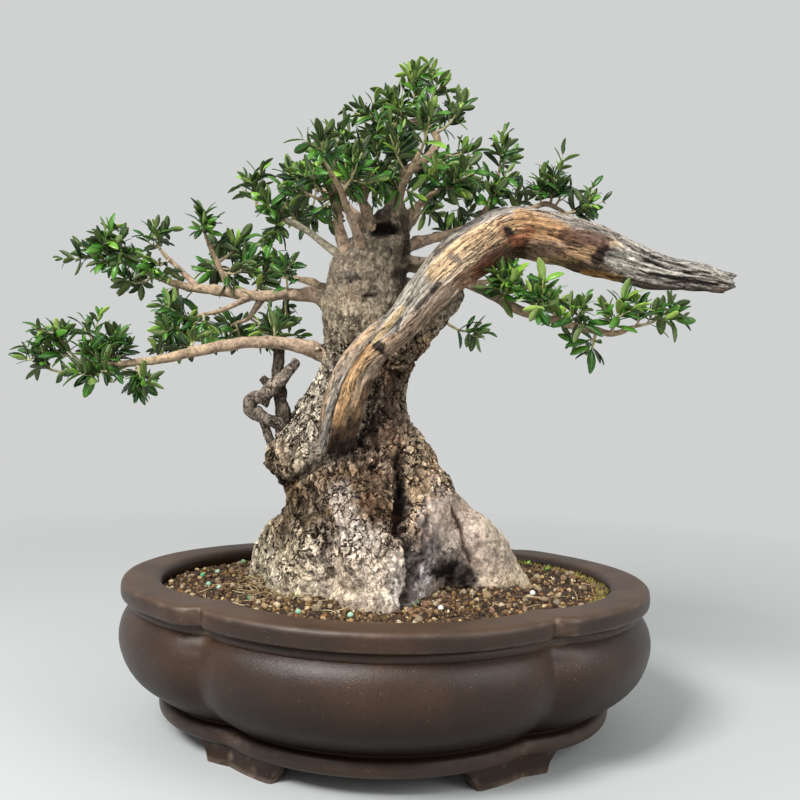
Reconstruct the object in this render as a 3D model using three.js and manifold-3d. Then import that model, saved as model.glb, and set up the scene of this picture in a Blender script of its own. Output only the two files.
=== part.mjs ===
// An olive bonsai with a dead limb, planted in an unglazed four-lobed stoneware pot.
// Millimetres, +Z up. The pot stands on its four feet at z = 0, and the origin is the
// middle of the whole tree's footprint. The front of the tree faces -Y.
import * as THREE from "three";
import { mergeVertices } from "three/addons/utils/BufferGeometryUtils.js";
import Module from "manifold-3d";

const wasm = await Module();
wasm.setup();

// ---------------------------------------------------------------- driving dimensions

const potLength = 400; // across the rim, end to end
const potWidth = 340; // across the rim, front to back
const potHeight = 113; // top of the rim above the surface it stands on
const endLobeRadius = 134; // the two end lobes; the front and back lobes share one circle
const potBase = 14; // underside of the pot, held up by its feet
const potFloor = 25; // inside of the pot, at the bottom
const footDepth = 15; // from a foot's outer face to its inner face
const footInset = 32.5; // from the rim's outline in to a foot's outer face

const drainRadius = 15;
const drainSpacing = 140; // between the centres of the two drain holes
const screenSize = 46;
const screenThickness = 1.6;
const screenBar = 2.4;
const screenMeshes = 3; // openings each way in a drain screen

const soilLevel = 106;
const soilGranule = 2.2; // how far the granules stand out of the soil's surface

const leafLength = 19;
const leafWidth = 6.6;
const stemThickness = 2.2;

const clearance = 0.3; // gap kept between two pieces
const leafClearance = 0.5; // least gap between the leaves of two sprays

// ---------------------------------------------------------------- colours and finishes

const finishes = {
  clay: { color: 0x4a372c, roughness: 0.55, metalness: 0 },
  soil: { color: 0x6e5138, roughness: 1, metalness: 0 },
  screen: { color: 0x1d1f20, roughness: 0.6, metalness: 0 },
  bark: { color: 0x9c8c74, roughness: 0.95, metalness: 0 },
  deadwood: { color: 0xb3946a, roughness: 0.85, metalness: 0 },
  leaf: { color: 0x3f7027, roughness: 0.45, metalness: 0 },
};

// ---------------------------------------------------------------- solids and meshes

// A geometry as a closed solid, turned to face outwards.
function toSolid(geometry) {
  const bare = geometry.clone();
  bare.deleteAttribute("normal");
  bare.deleteAttribute("uv");
  const merged = mergeVertices(bare, 1e-4);
  const corners = new Uint32Array(merged.index.array);
  const mesh = new wasm.Mesh({
    numProp: 3,
    vertProperties: merged.attributes.position.array,
    triVerts: corners,
  });
  const solid = new wasm.Manifold(mesh);
  if (solid.volume() > 0) return solid;
  for (let i = 0; i < corners.length; i += 3) {
    const second = corners[i + 1];
    corners[i + 1] = corners[i + 2];
    corners[i + 2] = second;
  }
  return new wasm.Manifold(mesh);
}

function joined(solids) {
  return solids.reduce((whole, solid) => whole.add(solid));
}

// The largest body of a solid, without loose scraps.
function largestBody(solid) {
  const bodies = solid.decompose();
  return bodies.reduce((largest, body) => (body.volume() > largest.volume() ? body : largest));
}

function toMesh(name, solid, finish) {
  const { vertProperties, triVerts } = solid.getMesh();
  const geometry = new THREE.BufferGeometry();
  geometry.setAttribute("position", new THREE.BufferAttribute(vertProperties, 3));
  geometry.setIndex(new THREE.BufferAttribute(triVerts, 1));
  const faceted = geometry.toNonIndexed();
  faceted.computeVertexNormals();
  const mesh = new THREE.Mesh(faceted, new THREE.MeshStandardMaterial(finishes[finish]));
  mesh.name = name;
  return mesh;
}

// A skin over rings of equally many points, closed by a fan at each end.
function loft(rings) {
  const sides = rings[0].length;
  const points = rings.flat();
  const corners = [];
  for (let ring = 0; ring + 1 < rings.length; ring += 1) {
    for (let side = 0; side < sides; side += 1) {
      const here = ring * sides + side;
      const beside = ring * sides + ((side + 1) % sides);
      corners.push(here, beside, beside + sides);
      corners.push(here, beside + sides, here + sides);
    }
  }
  const lastRing = (rings.length - 1) * sides;
  const firstMiddle = points.push(middleOf(rings[0])) - 1;
  const lastMiddle = points.push(middleOf(rings[rings.length - 1])) - 1;
  for (let side = 0; side < sides; side += 1) {
    const next = (side + 1) % sides;
    corners.push(firstMiddle, next, side);
    corners.push(lastMiddle, lastRing + side, lastRing + next);
  }
  const geometry = new THREE.BufferGeometry().setFromPoints(points);
  geometry.setIndex(corners);
  return geometry;
}

function middleOf(points) {
  const sum = points.reduce((total, point) => total.add(point), new THREE.Vector3());
  return sum.divideScalar(points.length);
}

function vectors(route) {
  return route.map((point) => new THREE.Vector3(...point));
}

// A round tube along a smooth route, with a radius given at each point of the route.
// shape(angle, along) may swell or pinch the section.
function taperedTube(route, radii, sides, stations, shape = () => 1) {
  const curve = new THREE.CatmullRomCurve3(vectors(route));
  const side = new THREE.Vector3(0.31, 0.83, 0.46);
  const rings = [];
  for (let station = 0; station <= stations; station += 1) {
    const along = station / stations;
    const centre = curve.getPoint(along);
    const ahead = curve.getTangent(along);
    side.addScaledVector(ahead, -side.dot(ahead)).normalize();
    const across = new THREE.Vector3().crossVectors(ahead, side);
    const radius = valueAlong(radii, along);
    const ring = [];
    for (let step = 0; step < sides; step += 1) {
      const angle = (2 * Math.PI * step) / sides;
      const reach = radius * shape(angle, along);
      const point = centre.clone();
      point.addScaledVector(side, reach * Math.cos(angle));
      point.addScaledVector(across, reach * Math.sin(angle));
      ring.push(point);
    }
    rings.push(ring);
  }
  return loft(rings);
}

function valueAlong(values, along) {
  const place = along * (values.length - 1);
  const before = Math.min(Math.floor(place), values.length - 2);
  return THREE.MathUtils.lerp(values[before], values[before + 1], place - before);
}

// Repeatable random numbers from 0 to 1.
function seededRandom(seed) {
  let state = seed;
  return () => {
    state = (state + 0x6d2b79f5) | 0;
    let mixed = Math.imul(state ^ (state >>> 15), 1 | state);
    mixed ^= mixed + Math.imul(mixed ^ (mixed >>> 7), 61 | mixed);
    return ((mixed ^ (mixed >>> 14)) >>> 0) / 4294967296;
  };
}

// ---------------------------------------------------------------- the pot's plan

const middleRadius = potWidth / 2;
const endLobeShift = potLength / 2 - endLobeRadius;

// Where the end lobe meets the front or back lobe, on an outline set in by some distance.
function notch(inset) {
  const middle = middleRadius - inset;
  const end = endLobeRadius - inset;
  const x = (middle ** 2 - end ** 2 + endLobeShift ** 2) / (2 * endLobeShift);
  return { x, y: Math.sqrt(middle ** 2 - x ** 2) };
}

// The lobed outline at one height, counter-clockwise from +X.
function lobedRing(inset, height, steps = 9) {
  const { x, y } = notch(inset);
  const endSpan = Math.atan2(y, x - endLobeShift);
  const middleStart = Math.atan2(y, x);
  const ring = [];
  const arc = (centre, radius, from, to) => {
    for (let step = 0; step < steps; step += 1) {
      const angle = THREE.MathUtils.lerp(from, to, step / steps);
      const across = centre + radius * Math.cos(angle);
      ring.push(new THREE.Vector3(across, radius * Math.sin(angle), height));
    }
  };
  arc(endLobeShift, endLobeRadius - inset, -endSpan, endSpan);
  arc(0, middleRadius - inset, middleStart, Math.PI - middleStart);
  arc(-endLobeShift, endLobeRadius - inset, Math.PI - endSpan, Math.PI + endSpan);
  arc(0, middleRadius - inset, Math.PI + middleStart, 2 * Math.PI - middleStart);
  return ring;
}

// A point of the outline, given by its distance from the notch: positive along the
// front or back lobe, negative along the end lobe.
function outlinePoint(inset, fromNotch) {
  const { x, y } = notch(inset);
  if (fromNotch >= 0) {
    const radius = middleRadius - inset;
    const angle = Math.atan2(y, x) + fromNotch / radius;
    return [radius * Math.cos(angle), radius * Math.sin(angle)];
  }
  const radius = endLobeRadius - inset;
  const angle = Math.atan2(y, x - endLobeShift) + fromNotch / radius;
  return [endLobeShift + radius * Math.cos(angle), radius * Math.sin(angle)];
}

// ---------------------------------------------------------------- the pot

// Each profile point is an inset from the rim's outline and a height.
const outerProfile = [
  [42, potBase],
  [33, potBase],
  [29.5, 17],
  [30, 24],
  [34, 27],
  [18.5, 37],
  [7.5, 46.5],
  [1.5, 58],
  [-1.5, 70],
  [1, 82],
  [7.5, 93],
  [6.5, 97.5],
  [1, 98.5],
  [0, 101],
  [0, 109.5],
  [3, potHeight],
];
const innerProfile = [
  [25, potHeight],
  [29, 109],
  [26, 96],
  [13, 74],
  [18, 50],
  [34, 34],
  [48, potFloor],
];

function drainPlaces() {
  return [-drainSpacing / 2, drainSpacing / 2];
}

function buildPot() {
  const rings = [...outerProfile, ...innerProfile].map(([inset, height]) => lobedRing(inset, height));
  let pot = toSolid(loft(rings));
  for (const x of drainPlaces()) {
    const drill = new THREE.CylinderGeometry(drainRadius, drainRadius, 2 * potFloor, 20);
    drill.rotateX(Math.PI / 2).translate(x, 0, potFloor);
    pot = pot.subtract(toSolid(drill));
  }
  const foot = footGeometry();
  for (const mirrorX of [1, -1]) {
    for (const mirrorY of [1, -1]) {
      pot = pot.add(toSolid(foot.clone().scale(mirrorX, mirrorY, 1)));
    }
  }
  return pot;
}

// A bracket foot wraps the notch, and its two ends slope in towards the sole.
function footGeometry() {
  const top = potBase + 4;
  const stations = [
    { top: -30, sole: -19 },
    { top: -24, sole: -13 },
    { top: -10, sole: -7 },
    { top: 0, sole: 0 },
    { top: 14, sole: 12 },
    { top: 34, sole: 26 },
    { top: 52, sole: 39 },
  ];
  const corner = (inset, fromNotch, height) => {
    return new THREE.Vector3(...outlinePoint(inset, fromNotch), height);
  };
  const rings = stations.map((place) => [
    corner(footInset, place.top, top),
    corner(footInset, place.sole, 0),
    corner(footInset + footDepth, place.sole, 0),
    corner(footInset + footDepth, place.top, top),
  ]);
  return loft(rings);
}

// ---------------------------------------------------------------- the drain screens

// A plastic screen lies over each drain hole on the pot's floor.
function buildScreen(x) {
  const height = potFloor + clearance + screenThickness / 2;
  const pitch = (screenSize - screenBar) / screenMeshes;
  const first = (pitch - screenSize + screenBar) / 2;
  const sheet = new THREE.BoxGeometry(screenSize, screenSize, screenThickness);
  let screen = toSolid(sheet.translate(x, 0, height));
  for (let column = 0; column < screenMeshes; column += 1) {
    for (let row = 0; row < screenMeshes; row += 1) {
      const opening = new THREE.BoxGeometry(pitch - screenBar, pitch - screenBar, 2 * screenThickness);
      opening.translate(x + first + column * pitch, first + row * pitch, height);
      screen = screen.subtract(toSolid(opening));
    }
  }
  return screen;
}

// ---------------------------------------------------------------- the soil

// The soil fills the pot up to its rim's inner edge and rises a little to the trunk.
// Its rings run from the middle outwards and then down the pot's wall.
function buildSoil(swollenWood) {
  const random = seededRandom(7);
  const edge = lobedRing(29.5 + clearance, soilLevel - 1.5);
  const rings = [0.44, 0.54, 0.63, 0.71, 0.78, 0.84, 0.9, 0.95].map((share) =>
    edge.map((point) => {
      const place = share + 0.02 * (random() - 0.5);
      const lift = 3 * (1 - share) + soilGranule * (random() - 0.5);
      return new THREE.Vector3(point.x * place, point.y * place, soilLevel + lift);
    }),
  );
  rings.push(edge);
  for (const [inset, height] of innerProfile.slice(2)) {
    rings.push(lobedRing(inset + clearance + 0.2, Math.max(height, potFloor + clearance)));
  }
  let soil = toSolid(loft(rings));
  for (const x of drainPlaces()) {
    const side = screenSize + 2 * clearance;
    const pocket = new THREE.BoxGeometry(side, side, 2 * (screenThickness + 2 * clearance));
    soil = soil.subtract(toSolid(pocket.translate(x, 0, potFloor)));
  }
  return largestBody(soil.subtract(swollenWood));
}

// ---------------------------------------------------------------- the trunk and branches

// Rings of the trunk: height, centre x, centre y, half width, half depth.
const trunkRings = [
  [78, -18, -12, 62, 52],
  [106, -20, -12, 68, 60],
  [124, -18, -13, 71, 62],
  [141, -16, -13, 72, 62],
  [157, -14, -12, 70, 60],
  [171, -13, -10, 67, 56],
  [182, -17, -8, 68, 53],
  [200, -27, -6, 65, 52],
  [216, -29, -4, 59, 47],
  [232, -29, -3, 48, 43],
  [247, -26, -2, 40, 39],
  [263, -23, -1, 36, 36],
  [287, -19, 0, 34, 34],
  [311, -19, 1, 34, 33],
  [333, -20, 1, 32, 31],
  [351, -18, 1, 30, 28],
  [367, -12, 0, 27, 23],
  [381, -6, 1, 19, 17],
  [396, -1, 2, 12, 12],
];

// Roots flare from the trunk's foot into the soil: route, then a radius for each point.
const roots = {
  front: {
    route: [[-12, -22, 204], [-15, -45, 174], [-10, -63, 140], [-4, -73, 112], [-2, -76, 84]],
    radii: [12, 25, 28, 28, 23],
  },
  left: {
    route: [[-50, 4, 194], [-64, 10, 166], [-78, 16, 140], [-90, 28, 118], [-98, 40, 100], [-102, 48, 84]],
    radii: [12, 17, 22, 20, 16, 12],
  },
  leftFront: {
    route: [[-46, -20, 178], [-58, -30, 140], [-62, -32, 112], [-64, -32, 86]],
    radii: [10, 14, 16, 14],
  },
  right: {
    route: [[8, -2, 192], [34, -4, 165], [54, -4, 138], [78, 0, 113], [99, 4, 98], [113, 7, 86]],
    radii: [8, 24, 30, 26, 19, 12],
  },
  back: {
    route: [[-10, 12, 204], [2, 32, 158], [12, 48, 122], [20, 60, 90]],
    radii: [14, 22, 20, 14],
  },
  backRight: {
    route: [[10, 8, 184], [38, 24, 146], [60, 38, 112], [70, 46, 88]],
    radii: [12, 20, 17, 11],
  },
};

// Branches and dead stubs that are one with the trunk: route, first and last radius.
const branches = {
  lowLeft: {
    route: [
      [-41, -8, 279], [-69, -18, 288], [-114, -26, 288], [-146, -30, 281],
      [-177, -33, 273], [-209, -37, 269], [-224, -38, 265],
    ],
    radii: [7.5, 5.6, 5, 4.2, 3.4, 2.6, 2],
  },
  midLeft: {
    route: [
      [-39, -2, 311], [-57, 0, 327], [-79, 4, 329], [-114, 8, 328], [-141, 10, 332],
      [-170, 12, 336], [-187, 13, 341], [-219, 14, 355],
    ],
    radii: [9, 6.4, 5, 4.6, 4, 3, 2.4, 1.8],
  },
  midLeftUp: { route: [[-130, 9, 331], [-139, 6, 354], [-148, 4, 372]], radii: [2.8, 2.2, 1.6] },
  midLeftLow: { route: [[-114, 8, 327], [-134, 2, 316], [-150, -3, 311]], radii: [2.6, 2, 1.4] },
  midLeftBack: { route: [[-104, 8, 326], [-117, 20, 311], [-128, 26, 308]], radii: [2.8, 2, 1.4] },
  midLeftFork: { route: [[-156, 11, 334], [-177, 12, 354], [-187, 12, 364]], radii: [2.6, 2, 1.5] },
  upLeft: { route: [[-35, 8, 356], [-65, 14, 378], [-86, 16, 389], [-97, 18, 392]], radii: [4, 3, 2.6, 2] },
  upLeftTip: { route: [[-82, 15, 388], [-104, 22, 398], [-113, 26, 405]], radii: [2.2, 1.8, 1.4] },
  shoulder: {
    route: [[-27, -4, 344], [-37, -10, 364], [-42, -14, 381], [-43, -22, 401], [-44, -32, 418]],
    radii: [10, 7, 5.6, 4.6, 3],
  },
  leftLeader: {
    route: [[-11, -4, 364], [-19, -11, 386], [-25, -14, 401], [-37, -16, 406], [-58, -12, 401]],
    radii: [9, 6, 4.6, 3.8, 3],
  },
  leftFork: { route: [[-25, -14, 399], [-19, -20, 414], [-11, -24, 424]], radii: [3.8, 3, 2.2] },
  leader: {
    route: [
      [-3, 2, 384], [3, 3, 414], [10, 3, 427], [25, 2, 438], [33, 2, 452], [21, 2, 467], [15, 2, 479],
    ],
    radii: [11, 7, 5.6, 4.4, 3.6, 2.6, 1.8],
  },
  leaderLeft: { route: [[21, 2, 467], [2, -8, 460], [-8, -14, 456]], radii: [3, 2.4, 1.8] },
  leaderLow: { route: [[1, 4, 378], [14, 4, 396], [26, 0, 407], [35, -10, 410]], radii: [7, 4.6, 3, 2] },
  rightBack: {
    route: [[0, 8, 366], [34, 22, 380], [61, 26, 388], [97, 26, 399], [123, 24, 408], [137, 22, 401]],
    radii: [6, 4.2, 3.6, 2.8, 2.2, 1.6],
  },
  rightUp: { route: [[61, 26, 388], [78, 24, 411], [83, 22, 433]], radii: [2.6, 2, 1.5] },
  lowRight: {
    route: [
      [4, 6, 357], [37, -10, 347], [68, -26, 332], [91, -42, 317], [120, -50, 307],
      [142, -52, 302], [160, -54, 299], [175, -56, 304],
    ],
    radii: [6, 5, 4.4, 3.8, 3.2, 2.8, 2.4, 1.8],
  },
  smallRight: { route: [[2, 6, 324], [30, 12, 316], [43, 12, 310]], radii: [3.4, 2.4, 1.6] },
  frontLeft: { route: [[-23, -14, 360], [-34, -50, 392], [-42, -80, 405]], radii: [5, 3.4, 2] },
  frontMid: { route: [[-1, -2, 386], [9, -40, 409], [20, -62, 424]], radii: [5, 3.4, 2] },
  backLeft: { route: [[-16, 12, 378], [-48, 50, 414], [-76, 76, 434]], radii: [6, 3.8, 2] },
  backMid: { route: [[-4, 8, 370], [10, 56, 394], [18, 92, 414]], radii: [6, 3.6, 2] },
  backLow: { route: [[-24, 16, 324], [-62, 64, 344], [-96, 96, 356]], radii: [7, 4, 2.2] },
  backRight: { route: [[-2, 14, 340], [44, 56, 346], [83, 84, 354]], radii: [7, 4, 2.2] },
  backCentre: { route: [[-14, 18, 312], [-18, 66, 324], [-16, 92, 338]], radii: [6, 3.4, 2] },
  // Dead stubs and the bark-covered ridge under the dead limb.
  limbRidge: {
    route: [[-2, -8, 262], [6, -20, 276], [18, -34, 293], [31, -44, 304], [44, -46, 318], [53, -44, 330]],
    radii: [14, 13, 11, 9, 7, 3],
  },
  paleStub: { route: [[-1, -6, 354], [19, -14, 354], [30, -16, 354]], radii: [6, 4, 3.2] },
  scarStub: { route: [[-27, -18, 340], [-35, -30, 354], [-38, -33, 361]], radii: [5, 3, 1.6] },
  snagPost: {
    route: [[-80, -4, 207], [-87, -14, 234], [-86, -16, 257], [-85, -16, 282]],
    radii: [7, 4.8, 4.2, 3],
  },
  snagArm: {
    route: [[-95, -20, 249], [-86, -17, 255], [-78, -18, 266], [-72, -20, 279]],
    radii: [3.6, 4.2, 3.6, 2],
  },
  snagCurl: {
    route: [[-97, -20, 250], [-104, -22, 243], [-97, -22, 231], [-86, -10, 208]],
    radii: [3.4, 4, 3.6, 4],
  },
};

// Bark lumps, as a factor on the trunk's radius.
function barkLump(angle, height) {
  const broad = 0.035 * Math.sin(3 * angle + height / 21);
  const fine = 0.03 * Math.sin(7 * angle - height / 9);
  return 1 + broad + fine;
}

// All the live wood, swollen by a margin where it is used to cut its neighbours.
function buildWood(margin = 0) {
  const sides = 22;
  const rings = trunkRings.map(([height, x, y, halfWidth, halfDepth]) => {
    const ring = [];
    for (let side = 0; side < sides; side += 1) {
      const angle = (2 * Math.PI * side) / sides;
      const lump = barkLump(angle, height);
      const across = (halfWidth * lump + margin) * Math.cos(angle);
      const deep = (halfDepth * lump + margin) * Math.sin(angle);
      ring.push(new THREE.Vector3(x + across, y + deep, height));
    }
    return ring;
  });
  const pieces = [toSolid(loft(rings))];
  for (const { route, radii } of Object.values(roots)) {
    const lumpy = (angle, along) => 1 + 0.07 * Math.sin(3 * angle + 9 * along);
    const swollen = radii.map((radius) => radius + margin);
    pieces.push(toSolid(taperedTube(route, swollen, 8, route.length, lumpy)));
  }
  for (const { route, radii } of Object.values(branches)) {
    const swollen = radii.map((radius) => radius + margin);
    const sides = radii[0] > 4.5 ? 6 : 4;
    pieces.push(toSolid(taperedTube(route, swollen, sides, route.length)));
  }
  return joined(pieces);
}

// ---------------------------------------------------------------- the dead limb

const limb = {
  route: [
    [-38, -40, 206], [-36, -49, 221], [-27, -55, 244], [-22, -58, 267], [-9, -61, 285], [8, -63, 300],
    [26, -64, 322], [41, -61, 339], [60, -56, 355], [84, -49, 371], [123, -42, 368], [150, -38, 361],
    [179, -35, 352], [197, -33, 346], [223, -31, 343], [246, -29, 340], [255, -28, 339],
  ],
  radii: [5, 12.5, 12.5, 10.5, 11, 12, 15, 16.5, 17.5, 17.5, 18, 17.5, 14.5, 11, 7.6, 4.2, 2.2],
};

// Weathered wood: the section is ridged along its length and twists slowly.
function buildLimb(margin = 0) {
  const ridged = (angle, along) => {
    const ridges = 0.08 * Math.sin(3 * angle + 7 * along);
    return 1 + ridges + 0.05 * Math.sin(5 * angle - 11 * along);
  };
  const swollen = limb.radii.map((radius) => radius + margin);
  return toSolid(taperedTube(limb.route, swollen, 10, 20, ridged));
}

// ---------------------------------------------------------------- the leafy sprays

// Each spray grows out of a branch, at a share of its length, and ends at a point.
const sprays = [
  { name: "low_left_tip", on: "lowLeft", at: 1, to: [-275, -42, 270] },
  { name: "low_left_end", on: "lowLeft", at: 0.94, to: [-244, -40, 288] },
  { name: "low_left_mid", on: "lowLeft", at: 0.8, to: [-208, -30, 286] },
  { name: "low_left_under", on: "lowLeft", at: 0.86, to: [-212, -54, 262] },
  { name: "low_left_drop", on: "lowLeft", at: 0.72, to: [-182, -40, 258] },
  { name: "low_left_near", on: "lowLeft", at: 0.64, to: [-172, -20, 289] },
  { name: "low_left_sprig", on: "lowLeft", at: 0.24, to: [-90, -4, 305] },
  { name: "mid_left_tip", on: "midLeft", at: 1, to: [-246, 14, 358] },
  { name: "mid_left_top", on: "midLeft", at: 0.95, to: [-228, 0, 372] },
  { name: "mid_left_end", on: "midLeft", at: 0.88, to: [-222, 28, 342] },
  { name: "mid_left_fork", on: "midLeftFork", at: 1, to: [-193, 14, 376] },
  { name: "mid_left_up", on: "midLeftUp", at: 1, to: [-150, -4, 388] },
  { name: "mid_left_cross", on: "midLeftUp", at: 0.5, to: [-124, 16, 374] },
  { name: "mid_left_in", on: "midLeft", at: 0.42, to: [-104, 24, 356] },
  { name: "mid_left_near", on: "midLeft", at: 0.3, to: [-82, -10, 348] },
  { name: "mid_left_low", on: "midLeftLow", at: 1, to: [-166, -10, 309] },
  { name: "mid_left_back", on: "midLeftBack", at: 1, to: [-138, 42, 310] },
  { name: "up_left_tip", on: "upLeftTip", at: 1, to: [-118, 30, 422] },
  { name: "up_left_in", on: "upLeft", at: 0.9, to: [-98, -2, 398] },
  { name: "up_left_back", on: "upLeft", at: 0.6, to: [-84, 38, 404] },
  { name: "up_left_high", on: "leftLeader", at: 1, to: [-82, -16, 420] },
  { name: "shoulder_top", on: "shoulder", at: 1, to: [-42, -42, 442] },
  { name: "shoulder_left", on: "shoulder", at: 0.72, to: [-64, -44, 414] },
  { name: "shoulder_front", on: "frontLeft", at: 1, to: [-46, -100, 418] },
  { name: "front_right", on: "frontLeft", at: 0.6, to: [-20, -74, 420] },
  { name: "left_fork", on: "leftFork", at: 1, to: [-14, -26, 444] },
  { name: "apex", on: "leader", at: 1, to: [12, 2, 502] },
  { name: "apex_right", on: "leader", at: 0.9, to: [32, -8, 492] },
  { name: "crown_right", on: "leader", at: 0.72, to: [50, -8, 474] },
  { name: "crown_left", on: "leaderLeft", at: 1, to: [-24, -20, 466] },
  { name: "crown_left_high", on: "leaderLeft", at: 0.5, to: [0, -2, 478] },
  { name: "crown_side", on: "leader", at: 0.56, to: [60, 14, 448] },
  { name: "crown_front", on: "frontMid", at: 1, to: [26, -86, 440] },
  { name: "crown_low", on: "frontMid", at: 0.6, to: [-2, -62, 436] },
  { name: "crown_near", on: "leaderLow", at: 1, to: [48, -26, 414] },
  { name: "crown_mid", on: "leader", at: 0.42, to: [2, -20, 446] },
  { name: "crown_back", on: "leader", at: 0.3, to: [8, 46, 452] },
  { name: "right_up", on: "rightUp", at: 1, to: [84, 18, 452] },
  { name: "right_crest", on: "rightBack", at: 0.6, to: [100, 40, 420] },
  { name: "right_near", on: "rightBack", at: 0.45, to: [76, 6, 412] },
  { name: "right_mid", on: "rightBack", at: 0.82, to: [126, 14, 428] },
  { name: "right_tip", on: "rightBack", at: 1, to: [152, 12, 406] },
  { name: "right_behind", on: "rightBack", at: 0.26, to: [46, 54, 392] },
  { name: "low_right_in", on: "lowRight", at: 0.36, to: [84, -62, 331] },
  { name: "low_right_front", on: "lowRight", at: 0.52, to: [106, -78, 332] },
  { name: "low_right_mid", on: "lowRight", at: 0.6, to: [118, -32, 322] },
  { name: "low_right_hang", on: "lowRight", at: 0.76, to: [146, -46, 286] },
  { name: "low_right_end", on: "lowRight", at: 0.84, to: [162, -68, 320] },
  { name: "low_right_tip", on: "lowRight", at: 1, to: [200, -56, 318] },
  { name: "small_right", on: "smallRight", at: 1, to: [66, 12, 304] },
  { name: "back_left_high", on: "backLeft", at: 1, to: [-88, 90, 444] },
  { name: "back_mid", on: "backMid", at: 1, to: [24, 112, 426] },
  { name: "back_left_low", on: "backLow", at: 1, to: [-112, 112, 364] },
  { name: "back_right", on: "backRight", at: 1, to: [100, 98, 364] },
];

// Leaves sit along a spray's stem in rosettes, or in a pair on the first, and lean in
// more (in radians from the stem) towards its end.
const rosettes = [
  { at: 0.4, lean: 1.25, leaves: 2 },
  { at: 0.7, lean: 1.05, leaves: 4 },
  { at: 0.98, lean: 0.75, leaves: 4 },
];

// The corner rings of a spray's four-sided stem, two for each rosette.
function stemRings(spray, random) {
  const start = branchCurve(spray.on).getPoint(spray.at);
  const end = new THREE.Vector3(...spray.to);
  const bend = start.clone().lerp(end, 0.5);
  bend.z -= 0.12 * start.distanceTo(end);
  const curve = new THREE.CatmullRomCurve3([start, bend, end]);
  const half = stemThickness / 2 / curve.getLength();
  const places = [0, ...rosettes.flatMap(({ at }) => [at - half, at + half])];
  const side = new THREE.Vector3(random() - 0.5, random() - 0.5, random() - 0.5);
  return places.map((along) => {
    const ahead = curve.getTangent(along);
    side.addScaledVector(ahead, -side.dot(ahead)).normalize();
    const across = new THREE.Vector3().crossVectors(ahead, side);
    const spokes = [side, across, side.clone().negate(), across.clone().negate()];
    const centre = curve.getPoint(along);
    const radius = stemThickness / 2;
    return { ahead, corners: spokes.map((spoke) => centre.clone().addScaledVector(spoke, radius)) };
  });
}

function branchCurve(name) {
  return new THREE.CatmullRomCurve3(vectors(branches[name].route));
}

// A leaf grows out of one face of the stem: its root is the face's four corners, and its
// blade is a pointed oval with a rib above and below. lower and upper run left to right.
function leafPoints(lower, upper, ahead, lean, random) {
  const root = middleOf([...lower, ...upper]);
  const across = lower[1].clone().sub(lower[0]).normalize();
  const out = new THREE.Vector3().crossVectors(across, ahead).normalize();
  const tilt = lean + 0.35 * (random() - 0.5);
  const direction = ahead.clone().multiplyScalar(Math.cos(tilt));
  direction.addScaledVector(out, Math.sin(tilt));
  direction.addScaledVector(across, 0.5 * (random() - 0.5));
  direction.z += 0.12;
  direction.normalize();
  const up = new THREE.Vector3().crossVectors(direction, across).normalize();
  const length = leafLength * (0.85 + 0.3 * random());
  const point = (along, wide, high) => {
    const corner = root.clone().addScaledVector(direction, along * length);
    corner.addScaledVector(across, (wide * leafWidth) / 2);
    return corner.addScaledVector(up, high);
  };
  return [
    lower[0], lower[1], upper[1], upper[0],
    point(0.36, -0.94, 0.25), point(0.72, -0.82, 0.15), point(1, 0, -0.7),
    point(0.72, 0.82, 0.15), point(0.36, 0.94, 0.25),
  ];
}

// Corner numbers of leafPoints: the root's four, then left, left, tip, right, right.
const leafFaces = [
  [0, 1, 6], [1, 8, 7], [1, 7, 6], [0, 6, 5], [0, 5, 4],
  [1, 2, 8], [3, 0, 4],
  [2, 3, 6], [2, 6, 7], [2, 7, 8], [3, 5, 6], [3, 4, 5],
];
const plainFaces = [[0, 1, 2], [0, 2, 3]];
const leafRootFaces = [[0, 2, 1], [0, 3, 2]];

// A spray in one skin: a face of the stem is left plain where its leaf would touch
// another leaf or a neighbour.
function buildSpray(spray, standing, random) {
  const rings = stemRings(spray, random);
  const sides = rings[0].corners.length;
  const skin = [];
  const leaves = [];
  for (let ring = 0; ring + 1 < rings.length; ring += 1) {
    const rosette = ring % 2 === 1 ? rosettes[(ring - 1) / 2] : null;
    for (let side = 0; side < sides; side += 1) {
      const next = (side + 1) % sides;
      const lower = [rings[ring].corners[side], rings[ring].corners[next]];
      const upper = [rings[ring + 1].corners[side], rings[ring + 1].corners[next]];
      let outside = plainFaces;
      let points = [...lower, upper[1], upper[0]];
      if (rosette && (side * rosette.leaves) % sides === 0) {
        const blade = leafPoints(lower, upper, rings[ring].ahead, rosette.lean, random);
        const leaf = trianglesToSolid(faces(blade, [...leafFaces, ...leafRootFaces]));
        if (keepsClear(leaf, standing, leafClearance) && !crosses(leaf, leaves)) {
          leaves.push(leaf);
          outside = leafFaces;
          points = blade;
        }
      }
      skin.push(...faces(points, outside));
    }
  }
  const first = rings[0].corners;
  const last = rings[rings.length - 1].corners;
  skin.push(...faces(first, leafRootFaces), ...faces(last, plainFaces));
  return trianglesToSolid(skin);
}

function faces(points, corners) {
  return corners.flat().map((corner) => points[corner]);
}

function trianglesToSolid(points) {
  return toSolid(new THREE.BufferGeometry().setFromPoints(points));
}

// True when a solid keeps its distance from all of the others.
function keepsClear(solid, others, distance) {
  const box = boxOf(solid).expandByScalar(distance);
  return others.every((other) => {
    if (!box.intersectsBox(other.box)) return true;
    return solid.minGap(other.solid, distance * 2) > distance;
  });
}

function crosses(solid, others) {
  return others.some((other) => solid.intersect(other).volume() > 1e-4);
}

function boxOf(solid) {
  const { min, max } = solid.boundingBox();
  return new THREE.Box3(new THREE.Vector3(...min), new THREE.Vector3(...max));
}

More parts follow.
